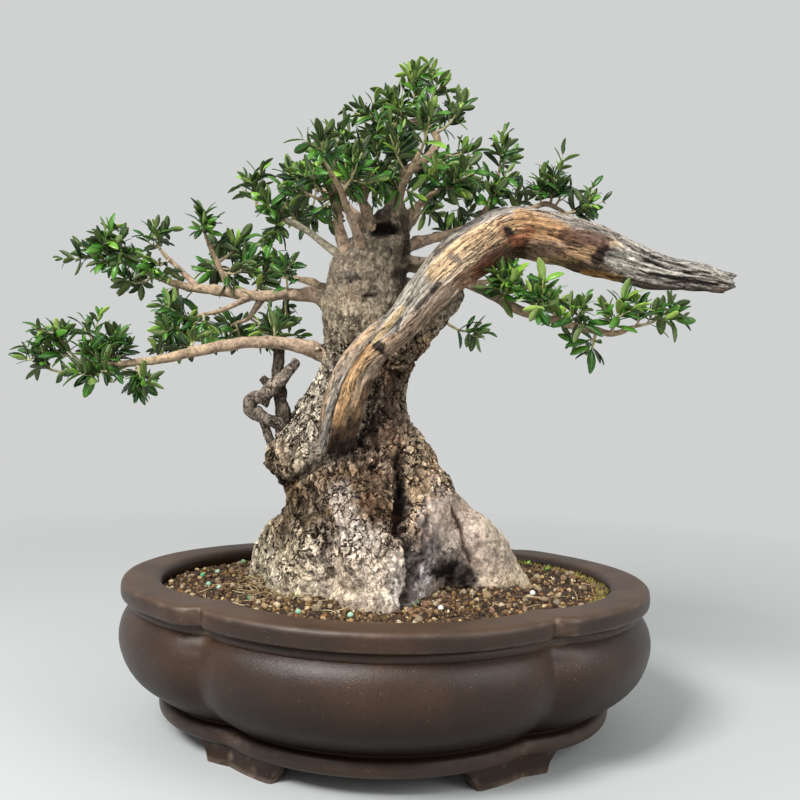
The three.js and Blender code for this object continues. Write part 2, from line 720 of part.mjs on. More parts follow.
function buildSprays(carriers) {
  const random = seededRandom(41);
  const standing = [...carriers];
  return sprays.map((spray) => {
    const grown = buildSpray(spray, standing, random);
    const trimmed = carriers.reduce((solid, carrier) => solid.subtract(carrier.swollen), grown);
    const solid = largestBody(trimmed);
    standing.push({ solid, box: boxOf(solid) });
    return toMesh("spray_" + spray.name, solid, "leaf");
  });
}

// ---------------------------------------------------------------- assembly

const deadLimb = buildLimb();
const swollenLimb = buildLimb(clearance);
const wood = largestBody(buildWood().subtract(swollenLimb));
const swollenWood = buildWood(clearance);
const carriers = [
  { solid: wood, swollen: swollenWood, box: boxOf(swollenWood) },
  { solid: deadLimb, swollen: swollenLimb, box: boxOf(swollenLimb) },
];

const planting = new THREE.Group();
planting.add(toMesh("pot", buildPot(), "clay"));
planting.add(toMesh("soil", buildSoil(swollenWood), "soil"));
drainPlaces().forEach((x, index) => {
  planting.add(toMesh("drain_screen_" + (index + 1), buildScreen(x), "screen"));
});
planting.add(toMesh("trunk", wood, "bark"));
planting.add(toMesh("dead_limb", deadLimb, "deadwood"));
for (const mesh of buildSprays(carriers)) planting.add(mesh);

// The origin is at the middle of the footprint of everything, on the standing surface.
const extent = new THREE.Box3().setFromObject(planting);
const middle = extent.getCenter(new THREE.Vector3());
planting.position.set(-middle.x, -middle.y, -extent.min.z);

const bonsai = new THREE.Group();
bonsai.add(planting);

export default bonsai;
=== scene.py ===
import math
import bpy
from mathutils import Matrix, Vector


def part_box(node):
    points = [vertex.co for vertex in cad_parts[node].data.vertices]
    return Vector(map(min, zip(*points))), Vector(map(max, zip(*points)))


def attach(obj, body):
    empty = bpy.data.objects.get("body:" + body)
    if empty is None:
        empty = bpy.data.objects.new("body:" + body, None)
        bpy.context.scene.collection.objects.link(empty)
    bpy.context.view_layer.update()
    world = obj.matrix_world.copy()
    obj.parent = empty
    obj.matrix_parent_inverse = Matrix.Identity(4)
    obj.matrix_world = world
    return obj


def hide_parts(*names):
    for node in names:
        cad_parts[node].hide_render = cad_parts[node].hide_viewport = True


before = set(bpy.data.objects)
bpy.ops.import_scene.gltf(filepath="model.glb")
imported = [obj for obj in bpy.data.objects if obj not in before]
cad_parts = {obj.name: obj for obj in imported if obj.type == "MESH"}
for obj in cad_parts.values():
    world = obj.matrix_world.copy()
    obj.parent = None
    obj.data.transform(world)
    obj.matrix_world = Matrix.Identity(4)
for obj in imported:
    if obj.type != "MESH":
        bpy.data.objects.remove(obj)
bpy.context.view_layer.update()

from types import SimpleNamespace

import bpy
import numpy as np
from mathutils import Quaternion, Vector
from mathutils.bvhtree import BVHTree

bpy.ops.object.select_all(action="DESELECT")

# Shapes are worked out in millimetres from the middle of the pot, with the table at z = 0.
potLow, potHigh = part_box("pot")
potMiddle = np.array([(potLow.x + potHigh.x) / 2, (potLow.y + potHigh.y) / 2, 0.0])


def toScene(points):
    return np.asarray(points, float) / 1000 + potMiddle


def unit(vectors):
    vectors = np.asarray(vectors, float)
    return vectors / np.maximum(np.linalg.norm(vectors, axis=-1, keepdims=True), 1e-9)


def ease(low, high, values):  # 0 below low, 1 above high, smooth between
    share = np.clip((values - low) / (high - low), 0, 1)
    return share * share * (3 - 2 * share)


def tone(code):  # "#rrggbb" as the linear colour that the shaders use
    parts = np.array([int(code[i : i + 2], 16) / 255 for i in (1, 3, 5)])
    return np.where(parts <= 0.04045, parts / 12.92, ((parts + 0.055) / 1.055) ** 2.4)


def hump(values, reach):  # 1 at zero, falling away on both sides
    return np.exp(-((values / reach) ** 2))


# Noise on points, in millimetres.


def cellValue(cells, seed):  # one repeatable number from 0 to 1 for each cell
    x, y, z = (cells[..., axis].astype(np.int64) for axis in range(3))
    mixed = (x * 374761393 + y * 668265263 + z * 2147483647 + seed * 974711) & 0xFFFFFFFF
    mixed = ((mixed ^ (mixed >> 13)) * 1274126177) & 0xFFFFFFFF
    return (mixed ^ (mixed >> 16)) / 4294967296.0


def softNoise(points, size, seed):  # from -1 to 1
    places = points / np.asarray(size, float)
    cells = np.floor(places)
    part = places - cells
    part = part * part * (3 - 2 * part)
    total = np.zeros(len(points))
    for corner in np.ndindex(2, 2, 2):
        weight = np.prod(np.where(np.array(corner), part, 1 - part), axis=1)
        total += weight * cellValue(cells + corner, seed)
    return 2 * total - 1


def roughNoise(points, size, seed, layers=4):
    size = np.asarray(size, float)
    total = np.zeros(len(points))
    for layer in range(layers):
        total += softNoise(points, size / 2**layer, seed + layer) / 2**layer
    return total / 1.5


def flakes(points, size, seed):  # gap to the cell's edge, the cell's number, the place in the cell
    places = points / np.asarray(size, float)
    cells = np.floor(places)
    nearest = np.full(len(points), 9.0)
    second = np.full(len(points), 9.0)
    value = np.zeros(len(points))
    offset = np.zeros((len(points), 3))
    for step in np.ndindex(3, 3, 3):
        cell = cells + np.array(step) - 1
        jitter = np.stack([cellValue(cell, seed + axis) for axis in range(3)], axis=1)
        away = places - cell - jitter
        distance = np.linalg.norm(away, axis=1)
        closer = distance < nearest
        second = np.where(closer, nearest, np.minimum(second, distance))
        value = np.where(closer, cellValue(cell, seed + 7), value)
        offset = np.where(closer[:, None], away, offset)
        nearest = np.where(closer, distance, nearest)
    return second - nearest, value, offset


def drift(points, size, seed, reach):  # a noise vector for each point
    return np.stack([roughNoise(points, size, seed + axis, 2) for axis in range(3)], axis=1) * reach


def crackField(points, size, seed, width):  # 1 along the lines where a smooth field changes sign
    return ease(width, 0.0, np.abs(softNoise(points, size, seed)))


def drawnOut(angle, radius, along):  # a bent tube laid straight, for noise that follows it
    return np.stack(np.broadcast_arrays(np.cos(angle) * radius, np.sin(angle) * radius, along), axis=-1)


# Routes, rings and skins.


def fullTurn(count):  # even angles round a circle
    return np.linspace(0, 2 * math.pi, count + 1)[:-1]


def travelledAlong(points):
    return np.concatenate([[0], np.cumsum(np.linalg.norm(np.diff(points, axis=0), axis=1))])


def smoothRoute(route, places):  # a centripetal curve through the route, at places from 0 to 1
    points = np.asarray(route, float)
    last = len(points) - 1
    ends = [2 * points[0] - points[1]], points, [2 * points[-1] - points[-2]]
    padded = np.concatenate(ends)
    along = np.clip(np.asarray(places, float), 0, 1) * last
    first = np.minimum(np.floor(along).astype(int), last - 1)
    share = (along - first)[:, None]
    p0, p1, p2, p3 = (padded[first + step] for step in range(4))
    gap = [np.sqrt(np.linalg.norm(b - a, axis=1))[:, None] for a, b in ((p0, p1), (p1, p2), (p2, p3))]
    leave = ((p1 - p0) / gap[0] - (p2 - p0) / (gap[0] + gap[1]) + (p2 - p1) / gap[1]) * gap[1]
    reach = ((p2 - p1) / gap[1] - (p3 - p1) / (gap[1] + gap[2]) + (p3 - p2) / gap[2]) * gap[1]
    cubic = 2 * p1 - 2 * p2 + leave + reach
    square = -3 * p1 + 3 * p2 - 2 * leave - reach
    return p1 + share * (leave + share * (square + share * cubic))


def routeLength(route):
    return np.linalg.norm(np.diff(smoothRoute(route, np.linspace(0, 1, 201)), axis=0), axis=1).sum()


def walkRoute(route, spacing):  # stations at even steps along a route, with a side and an across vector
    even = np.linspace(0, 1, 401)
    travelled = travelledAlong(smoothRoute(route, even))
    steps = np.linspace(0, travelled[-1], max(3, int(travelled[-1] / spacing)) + 1)
    places = np.interp(steps, travelled, even)
    centres = smoothRoute(route, places)
    ahead = unit(np.gradient(centres, axis=0))
    sides = np.zeros_like(centres)
    side = np.array([0.31, 0.83, 0.46])
    for station, direction in enumerate(ahead):
        side = unit(side - direction * np.dot(side, direction))
        sides[station] = side
    return places, centres, sides, np.cross(ahead, sides), steps


def skinRings(rings):  # closed skin over rings of equally many points, with a point at each end
    count, around = rings.shape[:2]
    points = np.concatenate([rings.reshape(-1, 3), rings[0].mean(0)[None], rings[-1].mean(0)[None]])
    ring, side = np.meshgrid(np.arange(count - 1), np.arange(around), indexing="ij")
    here = (ring * around + side).ravel()
    beside = (ring * around + (side + 1) % around).ravel()
    faces = np.stack([here, beside, beside + around, here + around], axis=1).tolist()
    first, last = count * around, count * around + 1
    for step in range(around):
        following = (step + 1) % around
        faces.append((first, following, step))
        faces.append((last, (count - 1) * around + step, (count - 1) * around + following))
    return points, faces


# Pieces.


def newPiece(name, points, faces, materials=(), smooth=True):
    mesh = bpy.data.meshes.new(name)
    mesh.from_pydata(toScene(points).tolist(), [], faces)
    for material in materials:
        mesh.materials.append(material)
    mesh.polygons.foreach_set("use_smooth", np.full(len(mesh.polygons), smooth))
    mesh.update()
    piece = bpy.data.objects.new(name, mesh)
    bpy.context.collection.objects.link(piece)
    return piece


def paint(piece, colours):  # a colour for each point, kept as an attribute
    attribute = piece.data.attributes.new("paint", "FLOAT_COLOR", "POINT")
    values = np.ones((len(piece.data.vertices), 4))
    values[:, :3] = colours
    attribute.data.foreach_set("color", values.ravel())


def mark(piece, name, values):  # a number for each point, or the same one for all
    attribute = piece.data.attributes.new(name, "FLOAT", "POINT")
    attribute.data.foreach_set("value", np.full(len(piece.data.vertices), values, float))


def markPlace(piece, name, places):  # a vector for each point
    attribute = piece.data.attributes.new(name, "FLOAT_VECTOR", "POINT")
    attribute.data.foreach_set("vector", places.ravel())


def pick(piece):
    bpy.ops.object.select_all(action="DESELECT")
    piece.select_set(True)
    bpy.context.view_layer.objects.active = piece


def added(primitive, **settings):  # a new primitive, alone selected
    bpy.ops.object.select_all(action="DESELECT")
    primitive(**settings)
    return bpy.context.active_object


def editAll(piece, operator, **settings):  # an edit-mode operator on the whole of a piece
    pick(piece)
    bpy.ops.object.mode_set(mode="EDIT")
    bpy.ops.mesh.select_all(action="SELECT")
    operator(**settings)
    bpy.ops.object.mode_set(mode="OBJECT")


def finishWith(piece, kind, **settings):
    pick(piece)
    modifier = piece.modifiers.new(kind.lower(), kind)
    for name, value in settings.items():
        setattr(modifier, name, value)
    bpy.ops.object.modifier_apply(modifier=modifier.name)


def joinPieces(name, pieces):
    pick(pieces[0])
    for piece in pieces[1:]:
        piece.select_set(True)
    if len(pieces) > 1:
        bpy.ops.object.join()
    pieces[0].name = name
    return pieces[0]


def readVectors(piece, what):
    flat = np.empty(len(piece.data.vertices) * 3)
    piece.data.vertices.foreach_get(what, flat)
    return flat.reshape(-1, 3)


def pointsOf(piece):  # back in millimetres from the pot's middle
    return (readVectors(piece, "co") - potMiddle) * 1000


def movePoints(piece, points):
    piece.data.vertices.foreach_set("co", toScene(points).ravel())
    piece.data.update()


def keep(piece, slot, *nodes):
    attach(piece, "root")
    if nodes:
        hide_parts(*nodes)
    return piece


# Materials.


def newMaterial(name):
    material = bpy.data.materials.new(name)
    material.use_nodes = True
    return material, material.node_tree


def feed(tree, socket, value):  # an output is linked, and a number, colour or "#rrggbb" tone is set
    if isinstance(value, bpy.types.NodeSocket):
        tree.links.new(value, socket)
    else:
        socket.default_value = (*tone(value), 1) if isinstance(value, str) else value


def finished(material, colour, roughness, specular=0.5, surface=None):
    tree = material.node_tree
    finish = {"Base Color": colour, "Roughness": roughness, "Specular IOR Level": specular}
    if surface:
        finish["Normal"] = surface
    for name, value in finish.items():
        feed(tree, tree.nodes["Principled BSDF"].inputs[name], value)
    return material


def grow(tree, kind, inputs=None, **settings):
    made = tree.nodes.new("ShaderNode" + kind)
    for name, value in settings.items():
        setattr(made, name, value)
    for socket, value in (inputs or {}).items():
        feed(tree, made.inputs[socket], value)
    return made


def grain(tree, place, scale, detail=4.0, roughness=0.6, stretch=None):
    if stretch:
        place = grow(tree, "Mapping", {"Vector": place, "Scale": stretch}).outputs[0]
    inputs = {"Vector": place, "Scale": scale, "Detail": detail, "Roughness": roughness}
    return grow(tree, "TexNoise", inputs).outputs["Fac"]


def edgeGap(tree, place, scale):  # how far from the seam between two cells
    inputs = {"Vector": place, "Scale": scale}
    return grow(tree, "TexVoronoi", inputs, feature="DISTANCE_TO_EDGE").outputs["Distance"]


def ramp(tree, factor, *stops):  # stops are a place and a grey or a "#rrggbb" tone
    made = grow(tree, "ValToRGB", {"Fac": factor})
    band = made.color_ramp.elements
    while len(band) < len(stops):
        band.new(0.5)
    for element, (place, value) in zip(band, stops):
        element.position = place
        element.color = (*tone(value), 1) if isinstance(value, str) else grey(value)
    return made.outputs[0]


def grey(value):
    return (value, value, value, 1)


def mix(tree, factor, first, second, how="MIX"):
    inputs = {0: factor, 6: first, 7: second}
    return grow(tree, "Mix", inputs, data_type="RGBA", blend_type=how).outputs[2]


def times(tree, first, second, share=1.0):  # one colour multiplied by another
    return mix(tree, share, first, second, "MULTIPLY")


def maths(tree, how, first, second=0.5):
    return grow(tree, "Math", {0: first, 1: second}, operation=how).outputs[0]


def product(tree, first, second):
    return maths(tree, "MULTIPLY", first, second)


def bump(tree, height, depth, strength=1.0, under=None):
    inputs = {"Height": height, "Distance": depth, "Strength": strength}
    if under:
        inputs["Normal"] = under
    return grow(tree, "Bump", inputs).outputs[0]


def attributeOf(tree, name, output="Fac"):
    return grow(tree, "Attribute", attribute_name=name).outputs[output]


def objectPlace(tree):
    return grow(tree, "TexCoord").outputs["Object"]


def jolted(tree, place, *jolts):  # the place pushed about, so that edges run jagged
    for size, reach in jolts:
        inputs = {"Vector": place, "Scale": size, "Detail": 3.0, "Roughness": 0.6}
        noise = grow(tree, "TexNoise", inputs).outputs["Color"]
        centred = grow(tree, "VectorMath", {0: noise, 1: (0.5, 0.5, 0.5)}, operation="SUBTRACT").outputs[0]
        scaled = grow(tree, "VectorMath", {0: centred, "Scale": reach}, operation="SCALE").outputs[0]
        place = grow(tree, "VectorMath", {0: place, 1: scaled}, operation="ADD").outputs[0]
    return place


def clayMaterial():
    # Dark stoneware with fine grit and pale specks, worn on its edges and dusty on top, with painted shade
    # that darkens it and takes its reflection away low down.
    material, tree = newMaterial("stoneware")
    place = objectPlace(tree)
    fine = grain(tree, place, 640, 4, 0.8)
    specks = grow(tree, "TexVoronoi", {"Vector": place, "Scale": 240.0}).outputs["Distance"]
    streaks = grain(tree, place, 60, 6, 0.7, (1.0, 1.0, 3.0))
    worn = times(tree, attributeOf(tree, "wear"), ramp(tree, streaks, (0.38, 0.3), (0.6, 1.0)))
    dust, low = attributeOf(tree, "dust"), attributeOf(tree, "low")
    patchy = ramp(tree, grain(tree, place, 26, 6, 0.65), (0.36, 0.35), (0.62, 1.0))
    broad = grain(tree, place, 14, 5)
    colour = ramp(tree, broad, (0.38, "#25160c"), (0.5, "#2e1c10"), (0.62, "#382315"))
    for share, code in (
        (ramp(tree, fine, (0.4, 0.5), (0.5, 0.0)), "#1b130f"),
        (ramp(tree, specks, (0.04, 0.6), (0.08, 0.0)), "#a58a70"),
        (worn, "#8b7766"),
        (times(tree, dust, patchy), "#4a3626"),
        # painted shade darkens the lower belly and the feet
        (low, "#140b07"),
    ):
        colour = mix(tree, share, colour, code)
    gloss = mix(tree, grain(tree, place, 130), grey(0.36), grey(0.46))
    gloss = mix(tree, dust, gloss, grey(0.52))
    # painted shade also turns the reflection down low on the pot
    shine = mix(tree, low, grey(0.4), grey(0.05))
    surface = bump(tree, grain(tree, place, 110), 0.0006, 0.4, bump(tree, fine, 0.0003, 0.7))
    return finished(material, colour, gloss, shine, surface)


def barkMaterial(name, plateScale, fineScale, depth):
    # The broad tones are painted on the points. Jagged plates with dark gaps lie over them
    # where the painted share called flaky is high, and a fine crust lies over everything.
    material, tree = newMaterial(name)
    place = objectPlace(tree)
    painted, flaky = attributeOf(tree, "paint", "Color"), attributeOf(tree, "flaky")
    moved = jolted(tree, place, (70.0, 0.016), (330.0, 0.006), (850.0, 0.0012))
    tall = grow(tree, "Mapping", {"Vector": moved, "Scale": (1.0, 1.0, 0.5)}).outputs[0]
    plates = grow(tree, "TexVoronoi", {"Vector": tall, "Scale": plateScale}).outputs["Color"]
    plateTone = grow(tree, "SeparateColor", {"Color": plates}).outputs[0]
    crust, mottle = grain(tree, place, 560, 5, 0.85), grain(tree, place, 190, 5, 0.75)
    openShare = ramp(tree, grain(tree, place, 75, 3), (0.41, 0.45), (0.51, 1.0))
    loose = product(tree, flaky, openShare)
    crack = ramp(tree, edgeGap(tree, tall, plateScale), (0.05, 1.0), (0.105, 0.0))
    crack = product(tree, crack, loose)
    fineCrack = ramp(tree, edgeGap(tree, moved, fineScale), (0.03, 0.7), (0.09, 0.0))
    fineCrack = product(tree, fineCrack, loose)
    colour = times(tree, painted, ramp(tree, crust, (0.36, 0.7), (0.5, 1.04), (0.63, 1.3)))
    colour = times(tree, colour, ramp(tree, mottle, (0.38, 0.72), (0.5, 1.04), (0.62, 1.28)), 0.9)
    variety = ramp(tree, plateTone, (0.0, 0.68), (0.35, 1.0), (0.75, 1.2), (1.0, 1.7))
    colour = mix(tree, flaky, colour, times(tree, colour, variety))
    shadow = times(tree, painted, (0.045, 0.034, 0.027, 1))
    pits = grain(tree, place, 330, 4, 0.8)
    smooth = maths(tree, "SUBTRACT", 1.0, flaky)
    flecked = product(tree, ramp(tree, pits, (0.37, 0.85), (0.425, 0.0)), smooth)
    pitted = maths(tree, "MAXIMUM", ramp(tree, pits, (0.335, 0.7), (0.375, 0.0)), flecked)
    for share in (pitted, fineCrack, crack):
        colour = mix(tree, share, colour, shadow)
    height = product(tree, product(tree, plateTone, flaky), 0.5)
    for share, fall in ((crack, 1.0), (fineCrack, 0.5), (pitted, 0.6)):
        height = maths(tree, "SUBTRACT", height, product(tree, share, fall))
    surface = bump(tree, crust, depth * 0.9, 1.0, bump(tree, height, depth))
    return finished(material, colour, 0.95, 0.15, surface)


def deadwoodMaterial():
    # Fibres, drying cracks and burnt flecks, all drawn out along the limb by its own grain.
    material, tree = newMaterial("silveredWood")
    along = attributeOf(tree, "grain", "Vector")
    wavy = jolted(tree, along, (24.0, 0.008), (90.0, 0.0025))
    fibres = grain(tree, wavy, 560, 5, 0.75, (1.0, 1.0, 0.09))
    broad = grain(tree, wavy, 150, 4, 0.7, (1.0, 1.0, 0.14))
    specks = grain(tree, along, 420, 4, 0.8)
    colour = attributeOf(tree, "paint", "Color")
    layers = (fibres, 0.5, 1.4, 1.0), (broad, 0.62, 1.3, 0.8), (specks, 0.65, 1.25, 0.8)
    for noise, dark, light, share in layers:
        colour = times(tree, colour, ramp(tree, noise, (0.38, dark), (0.5, 1.0), (0.62, light)), share)
    lines = None
    for scale, thin, wide in ((110, 0.005, 0.014), (240, 0.007, 0.018)):
        checks = grain(tree, wavy, scale, 4, 0.7, (1.0, 1.0, 0.07))
        away = maths(tree, "ABSOLUTE", maths(tree, "SUBTRACT", checks, 0.5))
        broken = ramp(tree, grain(tree, along, scale * 0.4), (0.44, 0.0), (0.52, 1.0))
        found = product(tree, ramp(tree, away, (thin, 1.0), (wide, 0.0)), broken)
        lines = maths(tree, "MAXIMUM", lines, found) if lines else found
    colour = mix(tree, product(tree, lines, 0.85), colour, "#1d1612")
    flecks = ramp(tree, grain(tree, wavy, 520, 4, 0.75, (1.0, 1.0, 0.4)), (0.36, 0.85), (0.4, 0.0))
    colour = mix(tree, product(tree, flecks, attributeOf(tree, "char")), colour, "#1f1915")
    surface = bump(tree, product(tree, lines, -1.0), 0.0016, 0.8, bump(tree, fibres, 0.0009, 0.9))
    return finished(material, colour, 0.82, 0.22, surface)


def leafMaterial(name, tones, ribTone, roughness):
    material, tree = newMaterial(name)
    stops = [(place / (len(tones) - 1), code) for place, code in enumerate(tones)]
    mottle = grain(tree, objectPlace(tree), 260, 3, 0.5)
    colour = ramp(tree, attributeOf(tree, "age"), *stops)
    colour = times(tree, colour, ramp(tree, mottle, (0.3, 0.8), (0.7, 1.15)))
    aside = maths(tree, "ABSOLUTE", attributeOf(tree, "aside"))
    colour = mix(tree, ramp(tree, aside, (0.05, 0.6), (0.15, 0.0)), colour, ribTone)
    return finished(material, colour, roughness, 0.38, bump(tree, mottle, 0.0003, 0.5))


def paintedMaterial(name, roughness, grit, depth, contrast=0.0):
    material, tree = newMaterial(name)
    fine = grain(tree, objectPlace(tree), grit, 4, 0.7)
    light = ramp(tree, fine, (0.3 + contrast, 0.55), (0.5, 0.95), (0.7 - contrast, 1.35))
    colour = times(tree, attributeOf(tree, "paint", "Color"), light)
    return finished(material, colour, roughness, surface=bump(tree, fine, depth, 0.7))


def screenMaterial():
    material, tree = newMaterial("blackPlastic")
    mottle = grain(tree, objectPlace(tree), 300, 3, 0.5)
    return finished(material, ramp(tree, mottle, (0.3, "#17191a"), (0.7, "#26292a")), 0.6)


clay = clayMaterial()
bark = barkMaterial("bark", 175.0, 420.0, 0.0018)
snagBark = barkMaterial("snagBark", 260.0, 560.0, 0.0014)
twigBark = paintedMaterial("twigBark", 0.9, 360, 0.0012, 0.06)
deadwood = deadwoodMaterial()
leafTop = leafMaterial("leafTop", ["#122116", "#1a3615", "#2a591a", "#4c8222", "#95bf42"], "#668843", 0.33)
leafUnder = leafMaterial("leafUnder", ["#2d3a24", "#3d4c2a", "#526534", "#6f873e", "#9bb553"], "#7c8c56", 0.5)
earth = paintedMaterial("earth", 1.0, 620, 0.0012, 0.08)
prillCoat = paintedMaterial("prillCoat", 0.75, 900, 0.0003)
print("materials ready")

# The pot.

pot = {
    "middleRadius": 170.0,  # the front and back lobes share this circle
    "endRadius": 134.0,
    "endShift": 66.0,
    "rimSoftness": 1.2,  # how far the notches are rounded
    "bellySoftness": 3.0,
    # How deep the four notches are creased, by height, from the band up over the rim.
    "creaseHeights": [14, 24, 34, 60, 84, 92, 100, 113],
    "creaseDepths": [0.6, 1.4, 2.6, 4.4, 5.2, 2.8, 4.0, 3.4],
    "valleys": (5.5, 14.5),  # how wide the creases are at the rim and on the belly
    "rimStarts": (97, 101),  # heights over which the belly's form turns into the rim's
    "rimEdge": 111.4,
    "lip": 1.6,  # how far the rim stands proud beside a notch
    "leftLip": 1.8,  # and how much further on the left end lobe
    "waver": 0.6,  # the mark of the potter's hand
    "bandHeight": 22.5,
    "drainRadius": 15.0,
    "drainSpacing": 140.0,
    # Inset from the rim's outline and height, from the underside up and over into the pot.
    "outside": [
        (33, 14), (30.2, 15), (28.8, 18), (28.8, 21.5), (30, 24.6), (32.6, 26.4), (33.4, 27.6),
        (30, 29.6), (24, 33.4), (18.5, 37.4), (13, 41.8), (8, 47), (4, 53), (1, 60), (-0.8, 67),
        (-1.2, 73), (-0.4, 79), (1.4, 84.5), (4, 89), (6.4, 91.6), (7.3, 92.4), (6.6, 93.4),
        (6.0, 95.4), (6.3, 97.4), (7.4, 98.8), (7.4, 99.6), (4.6, 99.8), (1.6, 100.2), (0.2, 101.6),
        (-0.2, 104), (-0.2, 108), (0.4, 111), (2, 112.7), (5, 113.2),
    ],
    "inside": [
        (22, 113), (26, 112), (28.4, 109.4), (28, 104), (26, 96), (19, 84), (13, 74), (14, 62),
        (18, 50), (25, 41), (34, 34), (48, 25.5), (60, 25),
    ],
}


def endReach(angle, inset):
    shift = pot["endShift"]
    across = (pot["endRadius"] - inset) ** 2 - (shift * np.sin(angle)) ** 2
    return shift * np.abs(np.cos(angle)) + np.sqrt(np.maximum(across, 0))


def potReach(angle, inset, softness):  # from the middle to the lobed outline
    first, second = pot["middleRadius"] - inset, endReach(angle, inset)
    bridge = np.maximum(softness - np.abs(first - second), 0)
    return np.maximum(first, second) + bridge**2 / (4 * softness)


def notchPlace(inset):
    middle, end, shift = pot["middleRadius"] - inset, pot["endRadius"] - inset, pot["endShift"]
    x = (middle**2 - end**2 + shift**2) / (2 * shift)
    return x, math.sqrt(middle**2 - x**2)


def potAngles():  # closer together at the four notches
    notchAngle = math.acos(notchPlace(0)[0] / pot["middleRadius"])
    quarter = np.concatenate([np.linspace(0, math.pi / 2, 46), notchAngle + np.linspace(-0.13, 0.13, 27)])
    quarter = np.unique(np.round(quarter, 3))
    quarter = quarter[np.concatenate([[True], np.diff(quarter) > 0.004])]
    half = np.concatenate([quarter, math.pi - quarter[::-1][1:]])
    return np.concatenate([half, half[1:-1] + math.pi])


def fineProfile(corners, step):
    line = np.asarray(corners, float)
    smooth = smoothRoute(np.column_stack([line, np.zeros(len(line))]), np.linspace(0, 1, 2000))[:, :2]
    travelled = travelledAlong(smooth)
    even = np.linspace(0, travelled[-1], int(travelledAlong(line)[-1] / step))
    return np.column_stack([np.interp(even, travelled, smooth[:, axis]) for axis in (0, 1)])


def fromNotch(x, y, inset):  # along the outline to the nearest notch, positive on the front and back lobes
    notchX, notchY = notchPlace(inset)
    fromSide = np.abs(np.arctan2(np.abs(y), np.abs(x)))
    return (fromSide - math.atan2(notchY, notchX)) * math.hypot(notchX, notchY)


def potRing(angles, inset, height, outer):
    rim = ease(*pot["rimStarts"], height)
    softness = pot["bellySoftness"] + (pot["rimSoftness"] - pot["bellySoftness"]) * rim
    reach = potReach(angles, inset, softness)
    along = fromNotch(np.cos(angles), np.sin(angles), inset)
    crease = np.interp(height, pot["creaseHeights"], pot["creaseDepths"]) * (outer or height > 104)
    narrow, wide = pot["valleys"]
    valley = narrow + (wide - narrow) * (1 - rim)
    reach = reach - crease * (0.86 * hump(along, valley) + 0.14 * hump(along, 3))
    lip = hump(along + 13, 11) * ease(2, -4, along)
    reach = reach + pot["lip"] * lip * rim * outer
    return np.column_stack([reach * np.cos(angles), reach * np.sin(angles), np.full_like(angles, height)])


def modelPot():
    angles = potAngles()
    outside = fineProfile(pot["outside"], 1.5)
    profile = np.concatenate([outside, fineProfile(pot["inside"], 3.0)])
    rings = [potRing(angles, *place, row < len(outside)) for row, place in enumerate(profile)]
    points = np.concatenate(rings)
    insets = np.repeat(profile[:, 0], len(angles))
    outward = unit(points * [1, 1, 0])
    hand = roughNoise(points, 60, 11, 3) * pot["waver"] + roughNoise(points, 18, 15, 2) * 0.22
    points += outward * (hand * ease(30, 45, points[:, 2]))[:, None]
    points[:, 2] += roughNoise(points, 45, 21, 2) * 0.5 * ease(105, 112, points[:, 2])
    # The lip of the left end lobe stands a little more proud of the front lobe beside it.
    away = fromNotch(points[:, 0], points[:, 1], 0) + 500 * ((points[:, 0] > 0) | (points[:, 1] > 0))
    lip = hump(away + 17, 15) * ease(1.5, -4, away) * ease(98, 101, points[:, 2])
    points += outward * (pot["leftLip"] * lip * (insets < 3))[:, None]
    skin, faces = skinRings(points.reshape(len(profile), len(angles), 3))
    piece = newPiece("stonewarePot", skin, faces, [clay])
    wearAndShadePot(piece, skin, np.append(insets, [33, 60]))
    return piece


def wearAndShadePot(piece, skin, insets):
    heights = skin[:, 2]
    mark(piece, "dust", ease(110.5, 112.6, heights))
    # Painted shade: the belly gets darker towards its bottom, above the band.
    mark(piece, "low", 0.9 * ease(82, 34, heights) * ease(18, 28, heights) * (heights > 0))
    edges = hump(heights - pot["rimEdge"], 1.2) * (insets < 6) * 0.5
    edges += hump(heights - pot["rimStarts"][1], 1.0) * 0.3 * (insets < 4)
    band = hump(heights - pot["bandHeight"], 2.6) * (insets < 32)
    notchWear = hump(fromNotch(skin[:, 0], skin[:, 1], 6), 9)
    notchWear = notchWear * (band * 0.9 + ease(84, 92, heights) * 0.35 * (insets < 9))
    spots = ease(0.05, 0.5, roughNoise(skin, 6, 31, 3))
    mark(piece, "wear", np.clip((edges + band * 0.25 + notchWear) * (0.35 + 0.65 * spots), 0, 1))


def outlinePoint(inset, past):  # past the notch: positive along the front lobe
    x, y = notchPlace(inset)
    if past >= 0:
        radius = pot["middleRadius"] - inset
        angle = math.atan2(y, x) + past / radius
        return radius * math.cos(angle), radius * math.sin(angle)
    radius = pot["endRadius"] - inset
    angle = math.atan2(y, x - pot["endShift"]) + past / radius
    return pot["endShift"] + radius * math.cos(angle), radius * math.sin(angle)


foot = {
    "inset": 32.5,
    "depth": 15.0,
    "top": 18.0,
    # Distance from the notch at the top and at the sole of each station.
    "stations": [(-30, -19), (-24, -13), (-10, -7), (0, 0), (14, 12), (34, 26), (52, 39)],
    "rows": 12,
}


